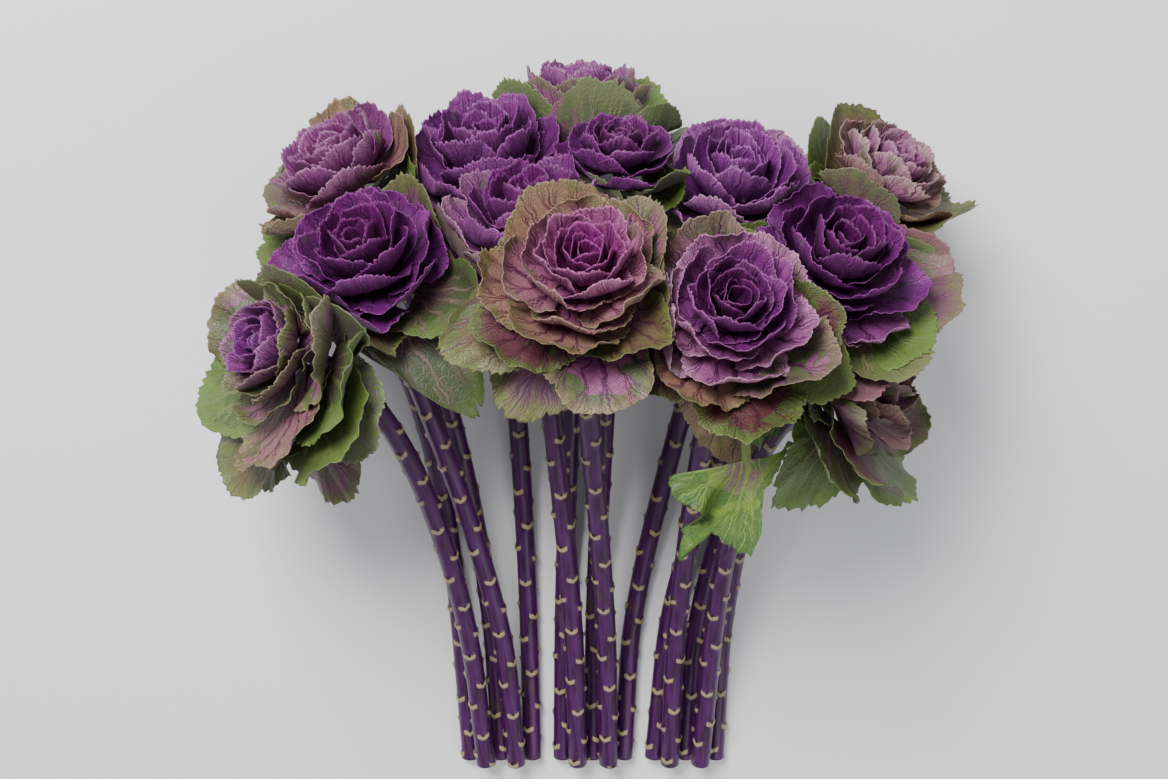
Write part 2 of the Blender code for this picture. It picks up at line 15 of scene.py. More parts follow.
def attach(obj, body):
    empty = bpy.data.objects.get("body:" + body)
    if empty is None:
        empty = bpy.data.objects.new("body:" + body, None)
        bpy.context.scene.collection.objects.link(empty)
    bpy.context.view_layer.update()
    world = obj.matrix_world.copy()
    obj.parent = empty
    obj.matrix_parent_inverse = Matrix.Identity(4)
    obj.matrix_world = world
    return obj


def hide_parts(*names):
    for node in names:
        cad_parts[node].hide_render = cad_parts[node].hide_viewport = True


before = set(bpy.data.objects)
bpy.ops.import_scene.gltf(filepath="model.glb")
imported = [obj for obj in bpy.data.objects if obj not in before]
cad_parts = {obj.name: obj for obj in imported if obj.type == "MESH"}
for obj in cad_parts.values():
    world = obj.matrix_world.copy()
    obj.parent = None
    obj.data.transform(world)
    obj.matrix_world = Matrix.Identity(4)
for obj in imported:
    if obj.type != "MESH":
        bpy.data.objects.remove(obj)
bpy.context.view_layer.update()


# Camera. It stands as the photographer did: a little above the level of the heads.
# The photograph's up is +Y here, because the bunch is laid down.
PHOTO_WIDTH = 1168
FOCAL_LENGTH_PIXELS = 1700.0
SENSOR_WIDTH_MM = 36.0
CAMERA_TILT = math.radians(12)
CAMERA_DISTANCE = 1.275
CAMERA_TARGET = (-0.009, 0.058, 0.170)

camera_data = bpy.data.cameras.new("camera")
camera_data.sensor_width = SENSOR_WIDTH_MM
camera_data.lens = SENSOR_WIDTH_MM * FOCAL_LENGTH_PIXELS / PHOTO_WIDTH
camera_data.clip_end = 20.0
camera = bpy.data.objects.new("camera", camera_data)
bpy.context.scene.collection.objects.link(camera)
tilt_sin, tilt_cos = math.sin(CAMERA_TILT), math.cos(CAMERA_TILT)
camera.matrix_world = Matrix(
    (
        (1, 0, 0, CAMERA_TARGET[0]),
        (0, tilt_cos, tilt_sin, CAMERA_TARGET[1] + CAMERA_DISTANCE * tilt_sin),
        (0, -tilt_sin, tilt_cos, CAMERA_TARGET[2] + CAMERA_DISTANCE * tilt_cos),
        (0, 0, 0, 1),
    )
)
bpy.context.scene.camera = camera


# Floor and light. A pale studio floor under a wide overhead softbox.
# The main light comes from over the heads, so that leaves shade the ones below them.
FLOOR_SIZE = 12.0
FLOOR_COLOUR = (0.88, 0.88, 0.888, 1.0)
FLOOR_ROUGHNESS = 0.9
FLOOR_DROP = 0.0006
WORLD_COLOUR = (0.93, 0.95, 1.0, 1.0)
WORLD_STRENGTH = 0.50

# Lights are at a place in metres and shine at the camera's target.
KEY_LIGHT = dict(place=(-0.60, 1.25, 1.75), size=0.9, watts=73.0)
FILL_LIGHT = dict(place=(0.9, -0.9, 1.7), size=1.6, watts=10.0)

bpy.ops.mesh.primitive_plane_add(size=FLOOR_SIZE, location=(0, 0, -FLOOR_DROP))
floor = bpy.context.object
floor.name = "studio_floor"
floor_material = bpy.data.materials.new("studio_floor")
floor_material.use_nodes = True
floor_shader = floor_material.node_tree.nodes["Principled BSDF"]
floor_shader.inputs["Base Color"].default_value = FLOOR_COLOUR
floor_shader.inputs["Roughness"].default_value = FLOOR_ROUGHNESS
floor.data.materials.append(floor_material)

world = bpy.data.worlds.new("studio")
world.use_nodes = True
world.node_tree.nodes["Background"].inputs["Color"].default_value = WORLD_COLOUR
world.node_tree.nodes["Background"].inputs["Strength"].default_value = WORLD_STRENGTH
bpy.context.scene.world = world

for name, light in (("key", KEY_LIGHT), ("fill", FILL_LIGHT)):
    data = bpy.data.lights.new(name, "AREA")
    data.size = light["size"]
    data.energy = light["watts"]
    lamp = bpy.data.objects.new(name, data)
    bpy.context.scene.collection.objects.link(lamp)
    away = Vector(light["place"]) - Vector(CAMERA_TARGET)
    lamp.rotation_mode = "QUATERNION"
    lamp.rotation_quaternion = away.to_track_quat("Z", "Y")
    lamp.location = light["place"]


# Stems. Woody, smooth and violet with a waxy bloom, each with the raised scars of the
# leaves that fell, in the plant's own spiral, and a small bud over every scar. They were
# cut straight across, and the cut shows a pale pith in a thin rind.
STEM_RADIUS = 0.0086
STEM_FLAT = math.cos(math.pi / 6)
STEM_SIDES = 30
STEM_RINGS = 250
BARK_RADIUS = 0.0082
HEAD_END_RADIUS = 0.0080
HEAD_END_RINGS = 3

# Scars: how far apart they are down the stem and round it, in turns, and their form.
SCAR_PITCH = 0.0105
SCAR_TURN = 0.381966
SCAR_HALF_WIDTH = 0.0062
SCAR_HEIGHT = 0.0017
SCAR_SLOPE = 0.42
SCAR_RIDGE = 0.0017
SCAR_CUSHION = 0.004

# The cut end: its rings of points as shares of the radius, how far the pith has sunk,
# and what the material reads at its middle.
CAP_SHARES = (0.97, 0.86, 0.70, 0.45, 0.2, 0.0)
PITH_SINK = 0.0006
CUT_START = 0.05

# The stems' cut ends on the surface and in the gaps over them, and each stem's course: how
# much it fans out and rises, its straight end's share, and how far its curve is pulled
# along the head's axis and along the straight end.
CUT_Y = -0.310
FLOOR_PITCH = 0.027
FLOOR_START_X = -0.109
FLOOR_ORDER = (15, 3, 4, 5, 6, 7, 12, 13, 11)
UPPER_GAPS = {1: 0, 2: 1, 8: 3, 9: 4, 10: 6, 14: 7}
UPPER_CENTRE_Z = 0.0203
UPPER_RISE = 0.22
FAN = 0.30
STRAIGHT_SHARE = 2 / 11
HEAD_PULL = 0.20
CUT_PULL = 0.22

# How far a head's face is over the top of its outer core, in radii of the head.
OUTER_CORE_HEIGHT = 0.0160
FACE_HEIGHT = 0.80

# The least length that a vector is divided by.
SHORTEST = 1e-12

# Every plant: the middle of its face, the way it faces, its purple radius, how deep
# its cup is from 0 to 1, its number of green leaves and how far these reach.
PLANTS = {
    1: dict(face=(-0.249, 0.106, 0.222), axis=(-0.72, 0.40, 0.56), radius=0.056, cup=1.0, green=13, reach=1.3),
    2: dict(face=(-0.174, 0.184, 0.212), axis=(-0.20, 0.78, 0.62), radius=0.073, cup=0.3, green=7, reach=1.0),
    3: dict(face=(-0.209, 0.239, 0.106), axis=(-0.45, 0.80, 0.38), radius=0.066, cup=0.9, green=8, reach=1.0),
    4: dict(face=(-0.089, 0.254, 0.110), axis=(-0.12, 0.88, 0.45), radius=0.082, cup=0.4, green=7, reach=1.0),
    5: dict(face=(-0.009, 0.290, 0.058), axis=(0.03, 1.00, 0.06), radius=0.064, cup=1.0, green=9, reach=1.0),
    6: dict(face=(0.017, 0.250, 0.138), axis=(0.02, 0.93, 0.36), radius=0.052, cup=0.5, green=5, reach=1.0),
    7: dict(face=(0.109, 0.233, 0.130), axis=(0.06, 0.84, 0.53), radius=0.076, cup=0.5, green=8, reach=1.0),
    8: dict(face=(-0.051, 0.214, 0.188), axis=(-0.08, 0.93, 0.36), radius=0.074, cup=0.8, green=7, reach=1.0),
    9: dict(face=(-0.008, 0.181, 0.283), axis=(0.02, 0.73, 0.68), radius=0.060, cup=0.9, green=10, reach=1.0),
    10: dict(face=(0.095, 0.149, 0.283), axis=(0.06, 0.60, 0.80), radius=0.062, cup=1.0, green=11, reach=1.0),
    11: dict(face=(0.181, 0.184, 0.215), axis=(0.22, 0.76, 0.62), radius=0.074, cup=0.3, green=8, reach=1.0),
    12: dict(face=(0.231, 0.234, 0.130), axis=(0.48, 0.78, 0.40), radius=0.057, cup=0.9, green=8, reach=1.0),
    13: dict(face=(0.191, 0.214, 0.054), axis=(0.20, 0.96, 0.14), radius=0.056, cup=0.4, green=5, reach=1.0),
    14: dict(face=(0.219, 0.084, 0.192), axis=(0.80, 0.46, 0.34), radius=0.058, cup=0.9, green=11, reach=1.25),
    15: dict(face=(-0.254, 0.149, 0.056), axis=(-0.80, 0.55, 0.15), radius=0.060, cup=0.4, green=5, reach=1.0),
}


def unit(vectors):
    """Each vector scaled to length 1, along the last axis."""
    vectors = np.asarray(vectors, float)
    lengths = np.linalg.norm(vectors, axis=-1, keepdims=True)
    return vectors / np.maximum(lengths, SHORTEST)


def head_frame(number):
    """Where a head's leaves start, its axis, and the two directions across it.

    The first direction across points towards the stems' side, the second to its right.
    """
    plant = PLANTS[number]
    axis = unit(plant["axis"])
    depth = OUTER_CORE_HEIGHT + FACE_HEIGHT * plant["radius"]
    base = np.array(plant["face"]) - depth * axis
    down = np.array([0.0, -1.0, 0.0])
    first = unit(down - axis * (down @ axis))
    return base, axis, first, np.cross(axis, first)


def stem_path(number, count):
    """Points along a stem from its head down to its cut end.

    A cubic Bezier curve B(t) = (1-t)^3 p0 + 3t(1-t)^2 p1 + 3t^2(1-t) p2 + t^3 p3 leaves
    the head along its axis, and a straight stretch ends it.
    """
    base, axis, _, _ = head_frame(number)
    if number in FLOOR_ORDER:
        slot = FLOOR_ORDER.index(number)
        cut = np.array([FLOOR_START_X + slot * FLOOR_PITCH, CUT_Y, STEM_RADIUS * STEM_FLAT])
        rise = 0.0
    else:
        slot = UPPER_GAPS[number] + 0.5
        cut = np.array([FLOOR_START_X + slot * FLOOR_PITCH, CUT_Y, UPPER_CENTRE_Z])
        rise = UPPER_RISE
    span = np.linalg.norm(base - cut)
    ahead = unit([(base - cut)[0] / span * FAN, 1.0, rise])
    lifted = cut + ahead * STRAIGHT_SHARE * span
    points = (base, base - axis * HEAD_PULL * span, lifted + ahead * CUT_PULL * span, lifted)
    along = np.linspace(0.0, 1.0, count)[:, None]
    t = np.minimum(along / (1 - STRAIGHT_SHARE), 1.0)
    curve = (
        (1 - t) ** 3 * points[0]
        + 3 * t * (1 - t) ** 2 * points[1]
        + 3 * t**2 * (1 - t) * points[2]
        + t**3 * points[3]
    )
    straight = np.maximum(along - (1 - STRAIGHT_SHARE), 0.0)
    return curve - straight * span * ahead


def smooth(low, high, values):
    """Smooth step 3u^2 - 2u^3 of u, which runs from 0 at low to 1 at high."""
    u = np.clip((values - low) / (high - low), 0.0, 1.0)
    return u * u * (3 - 2 * u)


def scar_height(down, angle):
    """How far a stem's surface stands out, from the distance down it and the angle.

    Scar k lies k pitches down the stem and k golden turns round it. Its ridge is the V
    b = slope * |a|, with a across and b up the stem from the scar's place, and the
    surface under the ridge swells out to it.
    """
    place = np.round(down / SCAR_PITCH)
    turn = (angle / (2 * math.pi) - place * SCAR_TURN + 0.5) % 1.0 - 0.5
    across = np.abs(turn) * 2 * math.pi * STEM_RADIUS
    up = place * SCAR_PITCH - down
    past = up - SCAR_SLOPE * across
    window = 1 - smooth(0.72 * SCAR_HALF_WIDTH, SCAR_HALF_WIDTH, across)
    ridge = np.exp(-((past / SCAR_RIDGE) ** 2))
    cushion = 0.5 * np.exp(-((past / SCAR_CUSHION) ** 2)) * (past < 0)
    return SCAR_HEIGHT * window * np.maximum(ridge, cushion)


def grid_cells(index):
    """The four corners of every cell in a grid of point numbers."""
    corners = (index[:-1, :-1], index[:-1, 1:], index[1:, 1:], index[1:, :-1])
    return np.stack(corners, axis=-1).reshape(-1, 4)


def mesh_object(name, vertices, faces, material):
    """A smooth-shaded object from an array of points and lists of corners."""
    mesh = bpy.data.meshes.new(name)
    mesh.from_pydata(vertices.tolist(), [], faces)
    mesh.shade_smooth()
    mesh.materials.append(material)
    made = bpy.data.objects.new(name, mesh)
    bpy.context.scene.collection.objects.link(made)
    return made


def point_values(mesh, name, values):
    """Store one number for every point of a mesh."""
    attribute = mesh.attributes.new(name, "FLOAT", "POINT")
    attribute.data.foreach_set("value", np.asarray(values, np.float32))


def corner_map(mesh, name, per_point, corners):
    """A UV map from one pair of numbers for every point, and the faces' corners."""
    layer = mesh.uv_layers.new(name=name)
    layer.data.foreach_set("uv", np.asarray(per_point, np.float32)[corners].ravel())


class Graph:
    """Adds nodes to a node tree with one call each."""

    def __init__(self, tree):
        self.tree = tree

    def put(self, kind, values=(), **settings):
        """A new node with some settings, and values or links for its first inputs."""
        node = self.tree.nodes.new(kind)
        for key, value in settings.items():
            setattr(node, key, value)
        for socket, value in values.items() if isinstance(values, dict) else enumerate(values):
            self.feed(node.inputs[socket], value)
        return node

    def feed(self, socket, value):
        """A link into a socket, or its value."""
        if isinstance(value, bpy.types.NodeSocket):
            self.tree.links.new(value, socket)
        else:
            socket.default_value = value

    def math(self, operation, *values):
        """The result of a math node."""
        return self.put("ShaderNodeMath", values, operation=operation).outputs[0]

    def vector(self, operation, *values):
        """The result of a vector math node."""
        return self.put("ShaderNodeVectorMath", values, operation=operation).outputs[0]

    def step(self, value, low, high):
        """A smooth step of a value from 0 at low to 1 at high."""
        node = self.put("ShaderNodeMapRange", interpolation_type="SMOOTHSTEP")
        self.feed(node.inputs["Value"], value)
        self.feed(node.inputs["From Min"], low)
        self.feed(node.inputs["From Max"], high)
        return node.outputs["Result"]

    def mix(self, share, first, second):
        """Two colours mixed by a share."""
        node = self.put("ShaderNodeMix", data_type="RGBA")
        self.feed(node.inputs[0], share)
        self.feed(node.inputs[6], first)
        self.feed(node.inputs[7], second)
        return node.outputs[2]

    def value(self, name):
        """A number stored on the mesh's points."""
        return self.put("ShaderNodeAttribute", attribute_name=name).outputs["Fac"]

    def colour(self, name):
        """A colour stored on the mesh's points."""
        return self.put("ShaderNodeAttribute", attribute_name=name).outputs["Color"]

    def noise(self, place, scale, detail=2.0):
        """Noise from 0 to 1 at a place."""
        node = self.put("ShaderNodeTexNoise")
        self.feed(node.inputs["Vector"], place)
        node.inputs["Scale"].default_value = scale
        node.inputs["Detail"].default_value = detail
        return node.outputs["Fac"]


def srgb(red, green, blue):
    """A linear colour from 8-bit sRGB values."""
    levels = np.array([red, green, blue]) / 255
    linear = np.where(levels <= 0.04045, levels / 12.92, ((levels + 0.055) / 1.055) ** 2.4)
    return (*map(float, linear), 1.0)


# Maps are in tenths of a metre, the bark's in turns round and tenths of a metre down. Its
# material measures scars in millimetres.
MAP_SCALE = 10
STEM_VIOLET = srgb(74, 14, 84)
STEM_DARK = srgb(38, 9, 34)
STEM_OLIVE = srgb(72, 62, 36)
SCAR_CREAM = srgb(160, 142, 106)
BUD_DARK = srgb(30, 16, 16)
PITH = srgb(206, 204, 170)
RIND = srgb(150, 158, 104)
STEM_ROUGHNESS = 0.36
SCAR_UNEVENNESS = 4.0
BUD_OVER_SCAR = 3.0
STREAK_STRETCH = (7.0, 1.4, 1.0)
BARK_BUMP = 0.0006


def stem_material(number):
    """Violet bark with cream scars and dark buds, and a pale pith in a green rind.

    It reads the same spiral of scars as the surface, from the stem's own map.
    """
    material = bpy.data.materials.new(f"stem_{number:02d}")
    material.use_nodes = True
    graph = Graph(material.node_tree)
    shader = material.node_tree.nodes["Principled BSDF"]
    uv = graph.put("ShaderNodeUVMap", uv_map="stem").outputs[0]
    parts = graph.put("ShaderNodeSeparateXYZ", (uv,))
    around, down = parts.outputs[0], parts.outputs[1]
    places = graph.math("ROUND", graph.math("DIVIDE", down, SCAR_PITCH * MAP_SCALE))
    turn = graph.math("SUBTRACT", around, graph.math("MULTIPLY", places, SCAR_TURN))
    turn = graph.math("SUBTRACT", graph.math("FRACT", graph.math("ADD", turn, 0.5)), 0.5)
    round_mm = 2 * math.pi * STEM_RADIUS * 1000
    across = graph.math("MULTIPLY", graph.math("ABSOLUTE", turn), round_mm)
    scar_mm = graph.math("MULTIPLY", places, SCAR_PITCH * 1000)
    up = graph.math("SUBTRACT", scar_mm, graph.math("MULTIPLY", down, 1000 / MAP_SCALE))
    rough = graph.math("SUBTRACT", graph.noise(uv, 60.0), 0.5)
    rough = graph.math("MULTIPLY", rough, SCAR_UNEVENNESS)
    past = graph.math("SUBTRACT", graph.math("ADD", up, rough), graph.math("MULTIPLY", across, SCAR_SLOPE))
    ridge = graph.math("SUBTRACT", 1.0, graph.step(graph.math("ABSOLUTE", past), 1.5, 2.5))
    inside = graph.math("SUBTRACT", 1.0, graph.step(across, 4.6, 6.2))
    scar = graph.math("MULTIPLY", ridge, inside)
    bud_up = graph.math("SUBTRACT", up, BUD_OVER_SCAR)
    bud_far = graph.math("ADD", graph.math("POWER", bud_up, 2.0), graph.math("POWER", across, 2.0))
    bud = graph.math("SUBTRACT", 1.0, graph.step(bud_far, 0.8, 3.2))
    stretched = graph.put("ShaderNodeMapping", {"Vector": uv, "Scale": STREAK_STRETCH}).outputs[0]
    streaks = graph.noise(stretched, 2.2, 4.0)
    colour = graph.mix(graph.step(streaks, 0.25, 0.65), STEM_DARK, STEM_VIOLET)
    olive = graph.step(graph.noise(uv, 1.3 + 0.13 * number, 2.0), 0.62, 0.75)
    colour = graph.mix(graph.math("MULTIPLY", olive, 0.75), colour, STEM_OLIVE)
    colour = graph.mix(scar, colour, SCAR_CREAM)
    colour = graph.mix(bud, colour, BUD_DARK)
    cut = graph.value("cut")
    pith = graph.mix(graph.step(cut, 0.70, 0.86), PITH, RIND)
    colour = graph.mix(graph.step(cut, 0.001, 0.01), colour, pith)
    graph.feed(shader.inputs["Base Color"], colour)
    shader.inputs["Roughness"].default_value = STEM_ROUGHNESS
    bump = graph.put("ShaderNodeBump")
    bump.inputs["Strength"].default_value = 0.35
    bump.inputs["Distance"].default_value = BARK_BUMP
    graph.feed(bump.inputs["Height"], graph.math("ADD", graph.math("MULTIPLY", streaks, 0.6), scar))
    graph.feed(shader.inputs["Normal"], bump.outputs[0])
    return material


def stem_piece(number):
    """A fine tube along the stem's path, closed by rings of points over both ends.

    The tube's points are a grid of rows down the stem and columns round it. The last
    column meets the first, and each end's row meets in one point.
    """
    path = stem_path(number, STEM_RINGS)
    steps = np.linalg.norm(np.diff(path, axis=0), axis=1)
    down = np.concatenate([[0.0], np.cumsum(steps)])
    ahead = unit(np.gradient(path, axis=0))
    ahead[0] = -unit(PLANTS[number]["axis"])
    lateral = unit(np.cross(ahead, [0.0, 0.0, 1.0]))
    upward = np.cross(lateral, ahead)
    columns = STEM_SIDES + 1
    turn = np.linspace(0.0, 1.0, columns)
    angle = 2 * math.pi * turn
    radius = BARK_RADIUS + scar_height(down[:, None], angle[None, :])
    radius[:HEAD_END_RINGS] = HEAD_END_RADIUS
    across, up = np.cos(angle)[None, :, None], np.sin(angle)[None, :, None]
    out = across * lateral[:, None] + up * upward[:, None]
    tube = path[:, None] + radius[..., None] * out
    tube[..., 2] = np.maximum(tube[..., 2], 0.0)
    shares = np.array(CAP_SHARES)[:, None, None]
    sunk = path[-1] - PITH_SINK * (1 - shares) * ahead[-1]
    cap = sunk + shares * (tube[-1] - path[-1])
    head_end = np.broadcast_to(path[0], (1, columns, 3))
    grid = np.concatenate([head_end, tube, cap])
    cut = np.zeros(grid.shape[:2])
    cut[-len(CAP_SHARES) :] = np.array(CAP_SHARES)[:, None] + CUT_START
    around = np.broadcast_to(turn, grid.shape[:2])
    full_down = np.concatenate([[0.0], down, np.full(len(CAP_SHARES), down[-1])])
    total_rows = len(grid)
    index = np.arange(total_rows * columns).reshape(total_rows, columns)
    welded = index.copy()
    welded[:, -1] = welded[:, 0]
    welded[0, :] = welded[0, 0]
    welded[-1, :] = welded[-1, 0]
    kept, compact = np.unique(welded, return_inverse=True)
    compact = compact.reshape(total_rows, columns)
    vertices = grid.reshape(-1, 3)[kept]
    down_map = np.broadcast_to(MAP_SCALE * full_down[:, None], around.shape)
    flat = np.stack([around, down_map], axis=-1).reshape(-1, 2)
    faces, corners = [], []
    for quad, raw in zip(grid_cells(compact).tolist(), grid_cells(index).tolist()):
        chosen = [(q, r) for k, (q, r) in enumerate(zip(quad, raw)) if q != quad[k - 1]]
        faces.append([q for q, _ in chosen])
        corners.extend(r for _, r in chosen)
    piece = mesh_object(f"kale_stem_{number:02d}", vertices, faces, stem_material(number))
    corner_map(piece.data, "stem", flat, corners)
    point_values(piece.data, "cut", cut.reshape(-1)[kept])
    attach(piece, "root")
    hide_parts(f"stem_{number:02d}")


for number in PLANTS:
    stem_piece(number)


# Purple leaves. Thin, crisp and ruffled, cupped round the heart of each head in a golden
# spiral, paler or pinker at their toothed margins. They grow from a short core.
INNER_LEAVES = 24
INNER_CORE_HEIGHT = 0.0260
ROOT_WIDTH = 0.0080
GOLDEN_ANGLE = math.radians(137.5)
BLADE_HALF = 0.00022
ROOT_HALF = 0.0007
RIB_HALF_WIDTH = 0.0021
RIB_DEPTH = 0.0014
INNER_PITCH = 0.0019

# A head's room: where its middle is, in radii below its face, how near a stem must pass
# to bound it, how far it reaches below the surface, how much its planes lean, how far
# the green and the purple leaves and each next layer keep inside it, how softly leaves
# are pressed, and how far a leaf may reach in between the next head's.
MIDDLE_DEPTH = 0.48
PATH_POINTS = 60
STEM_REACH = 0.125
SCAR_REACH = 0.0022
FLOOR_REACH = 0.0005
CELL_LEAN = 0.40
CELL_INSET = 0.0011
INNER_INSET = 0.0036
LAYER_INSET = 0.0003
CELL_SOFTNESS = 0.0120
SURFACE_SOFTNESS = 0.0010
PRESS_ROUNDS = 3
MOST_SPILL = 0.0100

# Limits of the search for the nearest point of a hull.
HULL_STEPS = 200
NEAREST_SQUARED = 1e-14
SMALLEST_STEP = 1e-9

# A flat blade: how far it fans out to each side at the heart, and less so outwards, how
# far its outline falls back there, and its lobes in a full turn.
HEART_SPREAD = math.radians(66)
SPREAD_LOSS = math.radians(8)
SIDE_REACH = 0.84
LOBE_RATE = 7

# The purple leaves' rule. The margin stands at shares of the head's radius, and the
# roots climb the core from its foot to its tip.
TALLEST = 0.98
HEART_MARGIN = 0.09
MARGIN_POWER = 1.2
SHALLOW_DROP = 0.52
CUP_HOLD = 0.34
MARGIN_LEVEL = 0.78
MIDDLE_RISE = 0.16
LOWEST_ROOT = 0.003
ROOT_CLIMB = INNER_CORE_HEIGHT - 0.007
CLIMB_POWER = 0.6


def head_middle(number):
    """The middle of a head's volume."""
    plant = PLANTS[number]
    return np.array(plant["face"]) - MIDDLE_DEPTH * plant["radius"] * unit(plant["axis"])


def nearest_in_hull(points, target):
    """The point of the hull of some points that is nearest to a target."""
    best = points[np.argmin(np.linalg.norm(points - target, axis=1))].copy()
    for _ in range(HULL_STEPS):
        towards = target - best
        corner = points[np.argmax(points @ towards)]
        edge = corner - best
        length = edge @ edge
        if length < NEAREST_SQUARED:
            break
        step = np.clip(towards @ edge / length, 0.0, 1.0)
        if step < SMALLEST_STEP:
            break
        best = best + step * edge
    return best


def cell_planes(number):
    """Planes that bound a head's room: their normals, offsets, and which part two heads.

    One plane stands between every two heads, nearer to the smaller one, and leans so
    that the higher head spreads over the lower one. One plane stands before each stem
    of another plant that passes by, and one is the surface below.
    """
    middle = head_middle(number)
    radius = PLANTS[number]["radius"]
    normals = [np.array([0.0, 0.0, -1.0])]
    offsets = [FLOOR_REACH]
    between_heads = [False]
    for other in PLANTS:
        if other == number:
            continue
        apart = head_middle(other) - middle
        distance = np.linalg.norm(apart)
        share = 0.5 + 0.5 * (radius - PLANTS[other]["radius"]) / distance
        lean = np.array([0.0, 0.0, CELL_LEAN * np.sign(apart[2])])
        normal = unit(apart / distance + lean)
        normals.append(normal)
        offsets.append(normal @ (middle + share * apart))
        between_heads.append(True)
        path = stem_path(other, PATH_POINTS)
        path = path[np.linalg.norm(path - middle, axis=1) < STEM_REACH]
        if len(path):
            nearest = nearest_in_hull(path, middle)
            normal = unit(nearest - middle)
            normals.append(normal)
            offsets.append(normal @ nearest - STEM_RADIUS - SCAR_REACH)
            between_heads.append(False)
    return normals, offsets, between_heads


def pressed(points, planes, inset, spill):
    """Points moved smoothly back inside a head's room.

    Past the start of a plane's softness, a distance x becomes room * (1 - exp(-x / room)),
    so that leaves bend along their neighbours. The spill lets a leaf reach in between
    the leaves of the next head.
    """
    shape = points.shape
    points = points.reshape(-1, 3).copy()
    for _ in range(PRESS_ROUNDS):
        for normal, offset, between_heads in zip(*planes):
            on_surface = normal[2] == -1.0
            clear = CELL_INSET if on_surface else inset - spill * between_heads
            room = SURFACE_SOFTNESS if on_surface else CELL_SOFTNESS - inset
            past = np.maximum(points @ normal - offset + clear + room, 0.0)
            squeezed = room * (1.0 - np.exp(-past / room))
            points -= (past - squeezed)[:, None] * normal
    return points.reshape(shape)


def inner_leaf(number, index):
    """The shape of one purple leaf, from its place in the spiral, 0 at the heart to 1.

    The margin's radius grows from the heart out with a power of the place, and the
    outer margins stand lower where the cup is shallow.
    """
    plant = PLANTS[number]
    rng = np.random.default_rng(1000 * number + index)
    order = 1.0 - index / (INNER_LEAVES - 1)
    radius = plant["radius"]
    share = HEART_MARGIN + (1 - HEART_MARGIN) * order**MARGIN_POWER
    margin_radius = radius * share * rng.uniform(0.92, 1.05)
    lowering = (SHALLOW_DROP - CUP_HOLD * plant["cup"]) * order**2
    level = MARGIN_LEVEL + MIDDLE_RISE * math.sin(math.pi * order) - lowering
    margin_height = OUTER_CORE_HEIGHT + TALLEST * radius * level
    root_height = OUTER_CORE_HEIGHT + LOWEST_ROOT + ROOT_CLIMB * (1 - order) ** CLIMB_POWER
    root = (0.0015 + 0.004 * order, root_height)
    elbow = (0.97 * margin_radius, root_height + 0.26 * (margin_height - root_height))
    margin = (margin_radius, margin_height)
    length = 0.85 * (math.dist(root, elbow) + math.dist(elbow, margin))
    return dict(
        azimuth=index * GOLDEN_ANGLE + rng.uniform(-0.12, 0.12),
        meridian=(root, elbow, margin),
        length=length,
        petiole=0.04,
        lobes=0,
        spread=HEART_SPREAD - SPREAD_LOSS * order,
        wrap=1.0,
        open=0.007,
        ruffle=length * rng.uniform(0.040, 0.075),
        waves=rng.uniform(4.2, 5.6),
        phase=rng.uniform(0, 2 * math.pi),
        order=order,
    )


def carried(place, leaf, across, along, lift):
    """Carry flat leaf coordinates onto the head.

    The middle line is the quadratic curve (1-t)^2 root + 2t(1-t) elbow + t^2 margin in
    the plane of the head's axis. Across it, the blade is an arc round the axis, of
    curvature wrap / (radius + open). The lift stands along the middle line's normal.
    """
    base, axis, first, second = place
    root, elbow, margin = (np.array(point) for point in leaf["meridian"])
    t = (along / leaf["length"])[..., None]
    line = (1 - t) ** 2 * root + 2 * t * (1 - t) * elbow + t**2 * margin
    slope = unit(2 * (1 - t) * (elbow - root) + 2 * t * (margin - elbow))
    bend = leaf["wrap"] / (np.abs(line[..., 0]) + leaf["open"])
    sideways = np.sin(bend * across) / bend
    inwards = (1 - np.cos(bend * across)) / bend
    radial = line[..., 0] - inwards - lift * slope[..., 1]
    height = line[..., 1] + lift * slope[..., 0]
    out = math.cos(leaf["azimuth"]) * first + math.sin(leaf["azimuth"]) * second
    side = np.cross(axis, out)
    return base + radial[..., None] * out + height[..., None] * axis + sideways[..., None] * side


def leaf_normals(points):
    """Unit normals of a grid of points, towards the leaf's upper face."""
    return unit(np.cross(np.gradient(points, axis=0), np.gradient(points, axis=1)))


